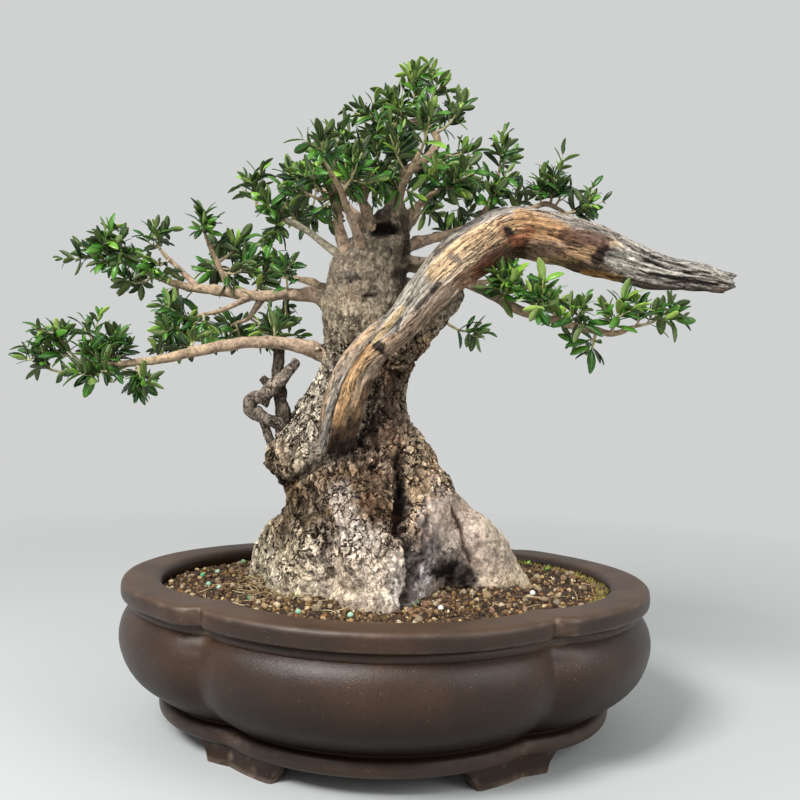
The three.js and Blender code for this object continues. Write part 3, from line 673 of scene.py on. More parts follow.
def modelFeet():
    # The bracket's ends curve in towards the sole, and its outer face swells a little.
    tops, soles = (np.array(column, float) for column in zip(*foot["stations"]))
    shares = np.linspace(0, 1, 60)
    stationPlaces = np.linspace(0, 1, len(tops))
    rings = []
    for top, sole in zip(*(np.interp(shares, stationPlaces, line) for line in (tops, soles))):
        outer, inner = [], []
        for row in range(foot["rows"] + 1):
            down = row / foot["rows"]
            curve = math.sin(down * math.pi / 2) ** 1.4
            place = top + (sole - top) * curve
            height = foot["top"] * (1 - down)
            swell = 1.2 * math.sin(down * math.pi) + 1.0 * ease(0.85, 1.0, down)
            outer.append((*outlinePoint(foot["inset"] + swell - 0.6, place), height))
            inner.append((*outlinePoint(foot["inset"] + foot["depth"] - swell * 0.6, place), height))
        rings.append(outer + inner[::-1])
    rings = np.array(rings)
    # Round the two end faces by drawing the last rings in.
    for end, inwards in ((0, 1), (-1, -1)):
        for step, share in ((0, 0.86), (1, 0.95)):
            ring = rings[end + inwards * step]
            centre = ring.mean(0)
            ring[:, :2] = centre[:2] + (ring[:, :2] - centre[:2]) * share
    feet = []
    for mirrorX, mirrorY in ((1, 1), (-1, 1), (-1, -1), (1, -1)):
        turned = rings * [mirrorX, mirrorY, 1]
        if mirrorX * mirrorY > 0:
            turned = turned[:, ::-1]
        points, faces = skinRings(turned)
        lump = roughNoise(points, 12, 41, 3) * 0.45 * ease(0.5, 4, points[:, 2])
        points = points + unit(points * [1, 1, 0]) * lump[:, None]
        piece = newPiece("foot", points, faces, [clay])
        editAll(piece, bpy.ops.mesh.normals_make_consistent, inside=False)
        mark(piece, "dust", 0)
        # Painted shade darkens the feet a little.
        mark(piece, "low", 0.35)
        worn = ease(5, 0.5, points[:, 2]) * 0.7 + ease(0.1, 0.6, roughNoise(points, 8, 43, 3)) * 0.5
        mark(piece, "wear", np.clip(worn, 0, 1))
        feet.append(piece)
    return feet


def drillDrains(piece):
    for side in (-1, 1):
        middle = toScene([side * pot["drainSpacing"] / 2, 0, 18])
        form = {"vertices": 48, "radius": pot["drainRadius"] / 1000, "depth": 0.04, "location": middle}
        drill = added(bpy.ops.mesh.primitive_cylinder_add, **form)
        bpy.ops.object.transform_apply(location=True, rotation=True, scale=True)
        finishWith(piece, "BOOLEAN", operation="DIFFERENCE", object=drill, solver="EXACT")
        bpy.data.objects.remove(drill)


potPiece = modelPot()
drillDrains(potPiece)
potPiece = joinPieces("stonewarePot", [potPiece, *modelFeet()])
bpy.ops.object.shade_smooth_by_angle(angle=math.radians(40))
keep(potPiece, "clay", "pot")
print("pot ready")

blackPlastic = screenMaterial()
for name in ("drain_screen_1", "drain_screen_2"):
    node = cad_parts[name]
    node.data.materials.clear()
    node.data.materials.append(blackPlastic)

# The trunk.

# Rings: height, centre x, centre y, half width, half depth.
trunkRings = [
    (78, -18, -12, 62, 52), (106, -20, -12, 68, 60), (124, -18, -13, 71, 62), (141, -16, -13, 72, 62),
    (157, -14, -12, 70, 60), (171, -13, -10, 67, 56), (182, -17, -8, 68, 53), (200, -27, -6, 65, 52),
    (216, -29, -4, 59, 47), (232, -29, -3, 48, 43), (247, -26, -2, 40, 39), (263, -23, -1, 36, 36),
    (287, -19, 0, 34, 34), (311, -19, 1, 34, 33), (333, -20, 1, 32, 31), (351, -18, 1, 30, 28),
    (367, -12, 0, 27, 23), (381, -6, 1, 19, 17), (396, -1, 2, 12, 12),
]

roots = {
    "front": (
        [(-12, -22, 204), (-15, -45, 174), (-10, -63, 140), (-4, -73, 112), (-2, -76, 84)],
        [12, 25, 28, 28, 23],
    ),
    "left": (
        [(-50, 4, 194), (-64, 10, 166), (-78, 16, 140), (-90, 28, 118), (-98, 40, 100), (-102, 48, 84)],
        [11, 14, 17.5, 18, 17, 13],
    ),
    "leftFront": ([(-46, -20, 178), (-54, -34, 142), (-52, -45, 114), (-54, -48, 86)], [10, 16, 20, 20]),
    "right": (
        [(8, -2, 192), (34, -4, 165), (54, -4, 138), (78, 0, 113), (99, 4, 98), (113, 7, 86)],
        [8, 24, 30, 26, 19, 12],
    ),
    "back": ([(-10, 12, 204), (2, 32, 158), (12, 48, 122), (20, 60, 90)], [14, 22, 20, 14]),
    "backRight": ([(10, 8, 184), (38, 24, 146), (60, 38, 112), (70, 46, 88)], [12, 20, 17, 11]),
}

branches = {
    "lowLeft": (
        [(-41, -8, 279), (-69, -18, 288), (-114, -26, 288), (-146, -30, 281), (-177, -33, 273),
         (-209, -37, 269), (-224, -38, 265)],
        [7.5, 5.6, 5, 4.2, 3.4, 2.6, 2],
    ),
    "midLeft": (
        [(-39, -2, 311), (-57, 0, 327), (-79, 4, 329), (-114, 8, 328), (-141, 10, 332),
         (-170, 12, 336), (-187, 13, 341), (-219, 14, 355)],
        [9, 6.4, 5, 4.6, 4, 3, 2.4, 1.8],
    ),
    "midLeftUp": ([(-130, 9, 331), (-139, 6, 354), (-148, 4, 372)], [2.8, 2.2, 1.6]),
    "midLeftLow": ([(-114, 8, 327), (-134, 2, 316), (-150, -3, 311)], [2.6, 2, 1.4]),
    "midLeftBack": ([(-104, 8, 326), (-117, 20, 311), (-128, 26, 308)], [2.8, 2, 1.4]),
    "midLeftFork": ([(-156, 11, 334), (-177, 12, 354), (-187, 12, 364)], [2.6, 2, 1.5]),
    "upLeft": ([(-35, 8, 356), (-65, 14, 378), (-86, 16, 389), (-97, 18, 392)], [4, 3, 2.6, 2]),
    "upLeftTip": ([(-82, 15, 388), (-104, 22, 398), (-113, 26, 405)], [2.2, 1.8, 1.4]),
    "shoulder": (
        [(-27, -4, 344), (-37, -10, 364), (-42, -14, 381), (-43, -22, 401), (-44, -32, 418)],
        [10, 7, 5.6, 4.6, 3],
    ),
    "leftLeader": (
        [(-11, -4, 364), (-19, -11, 386), (-25, -14, 401), (-37, -16, 406), (-58, -12, 401)],
        [9, 6, 4.6, 3.8, 3],
    ),
    "leftFork": ([(-25, -14, 399), (-19, -20, 414), (-11, -24, 424)], [3.8, 3, 2.2]),
    "leader": (
        [(-3, 2, 384), (3, 3, 414), (10, 3, 427), (25, 2, 438), (33, 2, 452), (21, 2, 467), (15, 2, 479)],
        [11, 7, 5.6, 4.4, 3.6, 2.6, 1.8],
    ),
    "leaderLeft": ([(21, 2, 467), (2, -8, 460), (-8, -14, 456)], [3, 2.4, 1.8]),
    "leaderLow": ([(1, 4, 378), (14, 4, 396), (26, 0, 407), (35, -10, 410)], [7, 4.6, 3, 2]),
    "rightBack": (
        [(0, 8, 366), (34, 22, 380), (61, 26, 388), (97, 26, 399), (123, 24, 408), (137, 22, 401)],
        [6, 4.2, 3.6, 2.8, 2.2, 1.6],
    ),
    "rightUp": ([(61, 26, 388), (78, 24, 411), (83, 22, 433)], [2.6, 2, 1.5]),
    "lowRight": (
        [(4, 6, 357), (37, -10, 347), (68, -26, 332), (91, -42, 317), (120, -50, 307),
         (142, -52, 302), (160, -54, 299), (175, -56, 304)],
        [6, 5, 4.4, 3.8, 3.2, 2.8, 2.4, 1.8],
    ),
    "smallRight": ([(2, 6, 324), (30, 12, 316), (43, 12, 310)], [3.4, 2.4, 1.6]),
    "frontLeft": ([(-23, -14, 360), (-34, -50, 392), (-42, -80, 405)], [5, 3.4, 2]),
    "frontMid": ([(-1, -2, 386), (9, -40, 409), (20, -62, 424)], [5, 3.4, 2]),
    "backLeft": ([(-16, 12, 378), (-48, 50, 414), (-76, 76, 434)], [6, 3.8, 2]),
    "backMid": ([(-4, 8, 370), (10, 56, 394), (18, 92, 414)], [6, 3.6, 2]),
    "backLow": ([(-24, 16, 324), (-62, 64, 344), (-96, 96, 356)], [7, 4, 2.2]),
    "backRight": ([(-2, 14, 340), (44, 56, 346), (83, 84, 354)], [7, 4, 2.2]),
    "backCentre": ([(-14, 18, 312), (-18, 66, 324), (-16, 92, 338)], [6, 3.4, 2]),
}

# Dead stubs and the bark-covered ridge under the dead limb.
stubs = {
    "limbRidge": (
        [(-2, -8, 262), (6, -20, 276), (18, -34, 293), (31, -44, 304), (44, -46, 318), (53, -44, 330)],
        [14, 13, 11, 9, 7, 3],
    ),
    "paleStub": ([(-1, -6, 354), (19, -14, 354), (30, -16, 354)], [6, 4, 3.2]),
    "scarStub": ([(-27, -20, 336), (-32, -29, 343), (-34, -31, 347)], [4.5, 3.4, 2.4]),
    "snagPost": (
        [(-78, -6, 206), (-81, -13, 230), (-84, -14, 250), (-86, -14, 268), (-85, -14, 288)],
        [9, 6, 4.4, 4.6, 4.0],
    ),
    "snagArm": ([(-98, -21, 245), (-88, -21, 255), (-78, -21, 266), (-70, -22, 277)], [4.4, 4.6, 4.2, 2.9]),
    "snagCurl": (
        [(-96, -21, 248), (-104, -20, 246), (-105, -19, 238), (-96, -17, 233), (-84, -14, 229),
         (-74, -10, 222)],
        [3.8, 4.6, 5, 4.8, 5, 7],
    ),
    "snagStrip": ([(-98, -14, 235), (-94, -12, 222), (-87, -10, 206)], [3.2, 3.2, 3.6]),
    "snagSpur": ([(-87, -15, 254), (-93, -16, 258), (-98, -17, 263)], [3.4, 3.2, 2.4]),
}

trunk = {
    "voxel": 0.00142,
    "cutBelow": 88,
    "collar": 34,  # how much of a branch is grown with the trunk
    # The size of each form in the bark, and how far it stands out or goes in.
    "plateSize": (7.0, 7.0, 10.5),
    "plateLean": 1.9,
    "plateSeam": 0.9,
    "crackSize": (9, 9, 24),
    "crackDepth": 2.2,
    "fineCrackSize": (4.6, 4.6, 9),
    "fineCrackDepth": 0.9,
    "terraceSize": (12, 12, 19),
    "terraceStep": 0.8,
    "furrowSize": (7, 7, 50),
    "furrowDepth": 2.2,
    "wrinkleSize": (12, 12, 2.6),
    "wrinkleHeight": 0.7,
    "pitDepth": 1.4,
    # The crack tone is painted shade in the cracks, seams, furrows and pits.
    "tones": {"pale": "#fde4c8", "rust": "#7a5a3e", "crack": "#2b2019", "live": "#b09c88", "soil": "#7d684c"},
    "greyer": (0.0, 0.07, 0.2),  # what the lower crust gains in red, green and blue
    "brightest": 0.88,
    # The limbs of the crown are a little thinner than their solids, and the other branches less so.
    "crownLimbs": ("shoulder", "leftLeader", "leader", "leaderLow", "frontLeft", "frontMid"),
    "crownShare": 0.74,
    "branchShare": 0.92,
}


def ringsAlong(route, radii, spacing, around, swell=None):
    places, centres, sides, across, travelled = walkRoute(route, spacing)
    radius = np.interp(places, np.linspace(0, 1, len(radii)), radii)
    angle = fullTurn(around)
    reach = radius[:, None] * np.ones(around)
    if swell:
        reach = reach * swell(angle, places[:, None], travelled[:, None])
    turn = np.cos(angle)[:, None] * sides[:, None] + np.sin(angle)[:, None] * across[:, None]
    return centres[:, None] + turn * reach[..., None], places, travelled, radius, angle


def plainTube(name, *form):  # its route, radii, spacing, number of sides and swell
    return newPiece(name, *skinRings(ringsAlong(*form)[0]))


def trunkSolid():
    rows = np.array(trunkRings, float)
    heights = np.arange(rows[0, 0], rows[-1, 0] + 1, 2.0)
    form = []
    for columns in ([1, 2, 0], [3, 4, 0]):
        line = smoothRoute(rows[:, columns], np.linspace(0, 1, 600))
        form += [np.interp(heights, line[:, 2], line[:, axis])[:, None] for axis in (0, 1)]
    centreX, centreY, halfWidth, halfDepth = form
    angle = fullTurn(96)
    levels = heights[:, None]
    lump = 1 + 0.035 * np.sin(3 * angle + levels / 21) + 0.03 * np.sin(7 * angle - levels / 9)
    x = centreX + halfWidth * lump * np.cos(angle)
    y = centreY + halfDepth * lump * np.sin(angle)
    return newPiece("trunkCore", *skinRings(np.stack(np.broadcast_arrays(x, y, levels), axis=2)))


def rootSolid(name, route, radii, seed):
    def swell(angle, places, travelled):
        ridged = 0.07 * np.sin(3 * angle + 9 * places)
        return 1 + ridged + 0.05 * np.sin(5 * angle + 4 * places + seed)

    return plainTube(name, route, radii, 3, 28, swell)


def slimness(name):
    return trunk["crownShare"] if name in trunk["crownLimbs"] else trunk["branchShare"]


def collarSolid(name, route, radii):
    # The foot of a branch, flared where it leaves the trunk and drawn in at its far end.
    length = routeLength(route)
    spots = np.linspace(0, min(1.0, trunk["collar"] / length), 8)
    near = np.interp(spots, np.linspace(0, 1, len(radii)), radii) * slimness(name)
    near = near * (1 + 0.5 * np.exp(-spots * length / 9))
    near[-1] *= 0.6
    return plainTube(name, smoothRoute(route, spots), near, 2, 18)


def strokeGap(points, route):  # how far a point of the front is from a drawn line
    line = np.array(route, float)
    place = points[:, [0, 2]]
    best = np.full(len(points), 1e9)
    for start, end in zip(line[:-1], line[1:]):
        step = end - start
        share = np.clip(((place - start) @ step) / (step @ step), 0, 1)
        best = np.minimum(best, np.linalg.norm(place - start - share[:, None] * step, axis=1))
    return best


# Marks on the front of the trunk, some of them painted shade in clefts, folds and creases and under the
# bulge, the root and the limb: route in x and z, reach, push (out is positive), tone and share.
frontMarks = {
    # Painted shade in the clefts.
    "deepCleftShade": ([(11, 206), (13, 193), (14, 183), (13, 172), (13, 158)], 4.5, -8.0, "#17110d", 1.0),
    "lowerCleftShade": ([(14, 158), (19, 145), (21, 136), (21, 126), (17, 106)], 3.2, -4.5, "#2a1f18", 0.9),
    # Painted shade in the fold under the bulge.
    "shadeUnderBulge": (
        [(-90, 186), (-76, 181), (-63, 191), (-50, 202), (-34, 209), (-21, 217)], 4.0, -4.5, "#2b2119", 0.85
    ),
    "bulgeKnob": ([(-72, 181), (-68, 182)], 5.0, 2.0, "#b08a5c", 0.5),
    "darkFlaky": ([(-82, 172), (-62, 168), (-47, 164), (-40, 152)], 12.0, -0.8, "#4a3828", 0.62),
    "darkSide": ([(-78, 158), (-70, 146)], 8.0, -0.8, "#4d3c2c", 0.4),
    # Painted shade under the fold.
    "shadeUnderFold": ([(-30, 205), (-14, 196), (4, 186)], 9.0, -1.0, "#3b2c20", 0.6),
    "darkMiddle": ([(0, 262), (4, 244), (0, 226), (4, 204)], 15.0, -0.5, "#6d4c3a", 0.58),
    "maroonRight": ([(6, 264), (4, 244), (-6, 226)], 7.0, -0.8, "#4a2f24", 0.5),
    "creamRoot": ([(-32, 178), (-22, 165), (-12, 145), (-6, 118)], 10.0, 1.2, "#efdcc6", 0.55),
    "rustyBrown": ([(-10, 176), (1, 170), (9, 160)], 8.0, -1.0, "#5f3d29", 0.7),
    "brownRight": ([(13, 259), (15, 234), (14, 208), (7, 190)], 6.0, -0.8, "#a3866a", 0.35),
    "tanRight": ([(19, 222), (21, 199)], 5.0, 0.5, "#b7a283", 0.5),
    "rootFace": ([(44, 166), (46, 148), (38, 126)], 16.0, 0.0, "#cdbdb0", 0.8),
    "rootFacePale": ([(32, 122), (30, 108)], 9.0, 0.0, "#d0c2b4", 0.6),
    "rootGrey": ([(34, 146), (36, 132), (31, 122)], 5.5, 0.0, "#8e8b8b", 0.5),
    "rootVein": ([(32, 166), (29, 150), (26, 134), (20, 112)], 2.4, -1.5, "#54423a", 0.75),
    # Painted shade in the root's crease.
    "rootCreaseShade": ([(50, 168), (56, 153), (58, 140), (64, 128)], 1.5, -2.8, "#553b2e", 0.9),
    "burntEdge": ([(43, 126), (52, 132), (64, 118)], 8.0, 0.0, "#6a625d", 0.5),
    "burnt": ([(44, 125), (54, 121), (60, 117)], 8.6, 0.0, "#131010", 0.97),
    "burntFleck": ([(37, 143), (40, 140)], 2.6, 0.0, "#4d4643", 0.6),
    # Painted shade under the right root.
    "shadeUnderRoot": ([(72, 108), (88, 106), (104, 106)], 2.4, -0.8, "#2f221a", 0.75),
    "paleRidge": ([(70, 160), (87, 138), (108, 114)], 6.0, 1.0, "#cdbfa9", 0.55),
    "limbFootGrey": ([(-57, 240), (-55, 222), (-52, 206)], 4.5, 0.0, "#8d8074", 0.6),
    # Painted shadow of the limb, over darker reddish bark.
    "limbShadowRedBark": ([(-28, 214), (-20, 206), (-12, 222), (-8, 240)], 7.0, -1.0, "#33251f", 0.65),
    "scar": ([(-11, 378), (-1, 378)], 6.2, -2.8, "#15120f", 1.0),
    "crossCrack": ([(-20, 325), (-9, 327)], 1.0, -1.6, "#2a211b", 0.85),
    "crossCrackLow": ([(-34, 334), (-30, 338), (-22, 339)], 0.8, -1.0, "#3a2f27", 0.7),
    "burlDark": ([(5, 342), (15, 345)], 6.0, -1.5, "#2a211b", 0.7),
    "darkStreak": ([(8, 389), (12, 374), (9, 354)], 3.2, -1.5, "#2b221b", 0.7),
}

# Tones round the trunk: x, z, reach and tone.
trunkZones = [
    (-10, 400, 40, "#86796a"), (-18, 350, 34, "#8f8270"), (-30, 300, 30, "#a89a82"),
    (-8, 270, 26, "#a1886c"), (-45, 250, 30, "#e2d3b8"), (-62, 222, 26, "#e6d6ba"),
    (-80, 200, 22, "#ab9272"), (-30, 190, 26, "#a98864"), (10, 210, 26, "#dab58c"),
    (-78, 160, 30, "#a58b66"), (-98, 124, 24, "#d8c5a0"), (-60, 128, 24, "#e6cfa9"),
    (-30, 122, 24, "#f8e0c2"), (-8, 122, 26, "#ffebd4"), (30, 165, 24, "#c6a47e"),
    (52, 140, 26, "#b7a396"), (88, 125, 26, "#e2cfba"), (100, 105, 20, "#c9b08e"),
    (25, 240, 16, "#f2d8b8"),
]


def zoneTones(points, zones):
    total = np.zeros((len(points), 3))
    weights = np.full(len(points), 1e-6)
    for x, z, reach, code in zones:
        gap = ((points[:, 0] - x) ** 2 + (points[:, 2] - z) ** 2) / reach**2
        weight = np.exp(-1.6 * gap)
        total += weight[:, None] * tone(code)
        weights += weight
    return total / weights[:, None]


def collarShare(points):
    # 1 on the feet of the branches, 0 on the trunk itself and on the ridge under the limb.
    rows = np.array(trunkRings, float)
    middleX, middleY, wide, deep = (np.interp(points[:, 2], rows[:, 0], rows[:, i]) for i in (1, 2, 3, 4))
    outwards = np.hypot((points[:, 0] - middleX) / wide, (points[:, 1] - middleY) / deep)
    share = np.maximum(ease(1.1, 1.35, outwards), ease(392, 402, points[:, 2]))
    ridge = np.array(stubs["limbRidge"][0], float)
    away = np.min(np.linalg.norm(points[:, None] - ridge[None], axis=2), axis=1)
    return share * ease(252, 264, points[:, 2]) * ease(16, 20, away)


def tint(colours, shade, share):  # moves the colours towards a tone, in place, by a share at each point
    shade = tone(shade) if isinstance(shade, str) else shade
    colours += (shade - colours) * share[:, None]


def barkForms(points):  # what shapes and colours the bark, with one value for each point
    x, y, heights = points.T
    form = SimpleNamespace(collar=collarShare(points))
    form.base, form.upper = ease(200, 150, heights), ease(285, 325, heights)
    form.rightRoot = ease(24, 42, x) * ease(186, 170, heights) * ease(34, 10, y)
    smoothBelow = heights + 0.28 * np.abs(x + 8) + 9 * roughNoise(points, 20, 86, 2)
    form.worn = ease(150, 120, smoothBelow) * (1 - form.rightRoot)
    form.flaky = (1 - 0.8 * form.rightRoot) * (1 - 0.5 * form.worn)
    form.flaky = form.flaky * (1 - 0.6 * form.upper) * (1 - form.collar)
    warp, jagged = drift(points, 15, 50, 4), drift(points, 4.5, 54, 1.5)
    warped = points + warp + jagged
    form.crack = crackField(warped, trunk["crackSize"], 60, 0.13)
    form.crack *= ease(-0.5, 0.2, softNoise(points, (24, 24, 30), 66))
    form.fineCrack = crackField(warped, trunk["fineCrackSize"], 64, 0.17)
    level = roughNoise(warped, trunk["terraceSize"], 68, 3) * 2.6
    form.terrace = np.floor(level) + ease(0.3, 0.6, level - np.floor(level))
    # Loose plates each lean their own way, so that one side of a plate stands off.
    gap, number, inPlate = flakes(points + warp * 0.5 + jagged * 1.2, trunk["plateSize"], 130)
    across, deep, high = inPlate.T
    aim = 2 * math.pi * number
    form.lean = across * np.cos(aim) + deep * np.cos(3 * aim + 1) + high * np.sin(aim)
    form.seam = ease(0.12, 0.0, gap)
    form.lumps = roughNoise(points, (20, 20, 28), 80, 3)
    form.crust = roughNoise(points, (6, 6, 7), 84, 3)
    form.grit = roughNoise(points, 2.8, 88, 2)
    # Long furrows run down the middle of the trunk, and fine wrinkles lie across its top.
    around = drawnOut(np.arctan2(y, x + 20), 33, heights) + warp * 0.6
    form.furrow = crackField(around, trunk["furrowSize"], 92, 0.14)
    form.furrow *= ease(182, 215, heights) * (1 - 0.5 * form.upper) * (1 - form.collar)
    form.wrinkle = roughNoise(around, trunk["wrinkleSize"], 94, 2) * form.upper * (1 - form.collar)
    form.pits = ease(-0.36, -0.62, roughNoise(points, 4.6, 105, 3)) * (0.4 + 0.5 * form.base)
    form.pits = form.pits * (1 - form.rightRoot)
    return form


def barkPush(points, form):
    cracks = -trunk["crackDepth"] * form.crack - trunk["fineCrackDepth"] * form.fineCrack
    plates = cracks + trunk["terraceStep"] * form.terrace + (trunk["plateLean"] - 0.8 * form.base) * form.lean
    push = form.flaky * (plates - trunk["plateSeam"] * form.seam)
    rough = form.lumps * (1.3 + 2.8 * form.base) + form.crust * (0.4 + 0.8 * form.base + 1.3 * form.worn)
    push += rough * (1 - 0.7 * form.collar)
    push += form.grit * (0.4 - 0.2 * form.upper + 0.35 * form.worn)
    skirt = ease(126, 104, points[:, 2]) * (1 - form.rightRoot)
    push += skirt * (1.5 + 3.5 * roughNoise(points * [1, 1, 0.3], 11, 90, 2))
    push += -trunk["furrowDepth"] * form.furrow + trunk["wrinkleHeight"] * form.wrinkle
    return push - trunk["pitDepth"] * form.pits


def barkColours(points, form):
    x, _, heights = points.T
    tones = trunk["tones"]
    sunny = np.maximum(np.maximum(ease(-15, 25, x), form.upper), form.base * ease(205, 170, heights))
    colours = zoneTones(points, trunkZones) * (1 + 0.24 * sunny)[:, None]
    # Leaning plates are painted lighter on one side and darker on the other, as painted light and shade;
    # terrace steps, grit, crust and wrinkles vary the tone.
    light = 1 + form.flaky * (0.12 * form.terrace + 0.24 * form.lean) + 0.24 * form.grit
    light = light + (0.2 + 0.25 * form.worn) * form.crust + 0.2 * form.wrinkle
    colours *= light[:, None].clip(0.3, 2)
    pale = ease(-0.1, 0.35, roughNoise(points, (13, 13, 17), 96, 4))
    pale = pale * (0.3 + 0.15 * form.base + 0.4 * form.worn)
    tint(colours, tones["pale"], pale * (1 - 0.6 * form.upper) * 0.75)
    tint(colours, tones["rust"], ease(0.2, 0.6, roughNoise(points, (14, 14, 18), 101, 3)) * 0.35)
    # Painted shade darkens the cracks, seams, furrows and pits.
    loose = np.maximum(np.maximum(form.crack * 0.9, form.fineCrack * 0.45), form.seam * 0.6) * form.flaky
    tint(colours, tones["crack"], np.maximum(np.maximum(loose, form.furrow * 0.8), form.pits * 0.7))
    live = tone(tones["live"]) * (1 + 0.25 * roughNoise(points, (5, 5, 7), 120, 3))[:, None]
    tint(colours, live, form.collar * 0.85)
    tint(colours, tones["soil"], ease(112, 103, heights + 5 * form.lumps) * 0.4)
    return colours


def toneDown(points, form, colours):
    # The crust is greyer on the lower trunk, apart from the cream root and the left bulge.
    x, _, heights = points.T
    creamy = ease(30, 14, np.abs(x + 14)) * ease(160, 140, heights)
    bulge = ease(-35, -55, x) * ease(165, 185, heights)
    greyer = ease(285, 255, heights) * (1 - creamy) * (1 - 0.7 * bulge) * (1 - form.rightRoot)
    colours *= 1 + greyer[:, None] * trunk["greyer"]
    colours /= np.maximum(1, colours.max(axis=1) / trunk["brightest"])[:, None]
    return np.clip(colours, 0.004, trunk["brightest"])


def carveBark(piece):
    points, normals = pointsOf(piece), readVectors(piece, "normal")
    form = barkForms(points)
    push, colours = barkPush(points, form), barkColours(points, form)
    front = ease(0.35, -0.15, normals[:, 1]) * (points[:, 1] < 12)
    ragged = 1 + 0.45 * roughNoise(points, 6, 110, 2) + 0.3 * roughNoise(points, 2.4, 112, 2)
    flecks = ease(0.12, 0.3, roughNoise(points, (4.5, 4.5, 6.5), 116, 2))
    for route, reach, stand, code, share in frontMarks.values():
        away = strokeGap(points, route) / (reach * ragged.clip(0.3, 2))
        push += stand * np.exp(-(away**2) * 1.2) * front
        shade = tone(code) * (1 + 0.3 * form.grit + 0.25 * form.crust)[:, None].clip(0.3, 2)
        covered = ease(1.5, 0.55, away + 0.35 * form.grit) * front * share
        if stand > -2:  # pale flakes show through where the plates are loose
            covered *= 1 - 0.7 * flecks * form.flaky
        tint(colours, shade, covered)
    movePoints(piece, points + normals * push[:, None])
    paint(piece, toneDown(points, form, colours))
    mark(piece, "flaky", form.flaky)


def modelTrunk():
    parts = [trunkSolid()]
    for seed, (name, (route, radii)) in enumerate(roots.items()):
        parts.append(rootSolid(name, route, radii, seed))
    for name, (route, radii) in branches.items():
        if radii[0] >= 5:
            parts.append(collarSolid(name, route, radii))
    parts.append(plainTube("ridge", *stubs["limbRidge"], 2, 24))
    parts.append(plainTube("stub", *stubs["paleStub"], 2, 20))
    piece = joinPieces("trunkBark", parts)
    finishWith(piece, "REMESH", mode="VOXEL", voxel_size=trunk["voxel"], adaptivity=0)
    foot = {"plane_co": toScene([0, 0, trunk["cutBelow"]]), "plane_no": (0, 0, 1)}
    editAll(piece, bpy.ops.mesh.bisect, use_fill=True, clear_inner=True, **foot)
    finishWith(piece, "SMOOTH", factor=0.5, iterations=8)
    carveBark(piece)
    piece.data.materials.append(bark)
    piece.data.polygons.foreach_set("use_smooth", np.full(len(piece.data.polygons), True))
    return piece


trunkPiece = modelTrunk()
keep(trunkPiece, "bark", "trunk")
print("trunk ready:", len(trunkPiece.data.polygons), "faces")

# Branches, stubs and the small dead snag.

twig = {
    "live": {"spacing": 2.0, "around": 14, "rough": 1.0, "knob": 0.34, "bend": 0.9},
    "snag": {"spacing": 1.1, "around": 28, "rough": 3.4, "knob": 0.35, "bend": 1.1},
    # Young, old and dark tones.
    "liveTones": ("#9c8768", "#a38a76", "#43342a"),
    "postTones": ("#6d6257", "#62564b", "#17110e"),
    "curlTones": ("#ab9c8d", "#8f8174", "#261c17"),
    "paleTones": ("#b3aa92", "#b5aa93", "#6d6252"),
    "paleBranches": ("upLeft", "upLeftTip", "smallRight"),
    "seeds": {"live": 200, "snag": 1700},
    "seedStep": 40,
}


def barkTube(name, route, radii, form, colours, material, seed):
    # Knobs where shoots once grew, a slight waver, and long wrinkles.
    def swell(angle, places, travelled):
        around = drawnOut(angle, 3, travelled)
        flat = around.reshape(-1, 3)
        knobs = ease(0.3, 0.8, softNoise(flat, (4, 4, 11), seed)) * form["knob"]
        wrinkles = roughNoise(flat, (1.5, 1.5, 8), seed + 3, 3) * 0.09 * form["rough"]
        waver = roughNoise(flat, (9, 9, 16), seed + 9, 2) * 0.11
        foot = 0.35 * np.exp(-travelled / 7)
        end = 1 - 0.5 * ease(0.97, 1.0, places)
        return (1 + (knobs + wrinkles + waver).reshape(around.shape[:2]) + foot) * end

    rings, places, travelled = ringsAlong(route, radii, form["spacing"], form["around"], swell)[:3]
    line = np.column_stack([travelled, np.zeros_like(travelled), np.zeros_like(travelled)])
    bend = drift(line, 14, seed + 60, form["bend"]) * ease(0, 12, travelled)[:, None]
    rings = rings + (bend * ease(1.0, 0.85, places)[:, None])[:, None]
    points, faces = skinRings(rings)
    piece = newPiece(name, points, faces, [material])
    young, old, dark = (tone(code) for code in colours)
    share = np.append(np.repeat(places, form["around"]), [0, 1])[:, None]
    noise = roughNoise(points, (5, 5, 5), seed + 20, 4)[:, None]
    shades = (old + (young - old) * share) * (1 + 0.42 * noise)
    tint(shades, dark, ease(0.2, 0.6, roughNoise(points, 3.4, seed + 30, 3)) * 0.6)
    paint(piece, np.clip(shades, 0.004, 0.9))
    mark(piece, "flaky", 0.8)
    return piece


branchPieces = []
for seed, (name, (route, radii)) in enumerate(branches.items()):
    slim = [radius * slimness(name) for radius in radii]
    tones = twig["paleTones" if name in twig["paleBranches"] else "liveTones"]
    drawn = twig["seeds"]["live"] + twig["seedStep"] * seed
    branchPieces.append(barkTube(name, route, slim, twig["live"], tones, twigBark, drawn))
keep(joinPieces("branches", branchPieces), "bark", "trunk")
snagPieces = []
for seed, name in enumerate(("snagPost", "snagSpur", "snagArm", "snagCurl", "snagStrip", "scarStub")):
    tones = twig["postTones" if seed < 2 else "curlTones"]
    drawn = twig["seeds"]["snag"] + twig["seedStep"] * seed
    snagPieces.append(barkTube(name, *stubs[name], twig["snag"], tones, snagBark, drawn))
keep(joinPieces("deadSnag", snagPieces), "bark", "trunk")
print("branches ready")

# The dead limb.

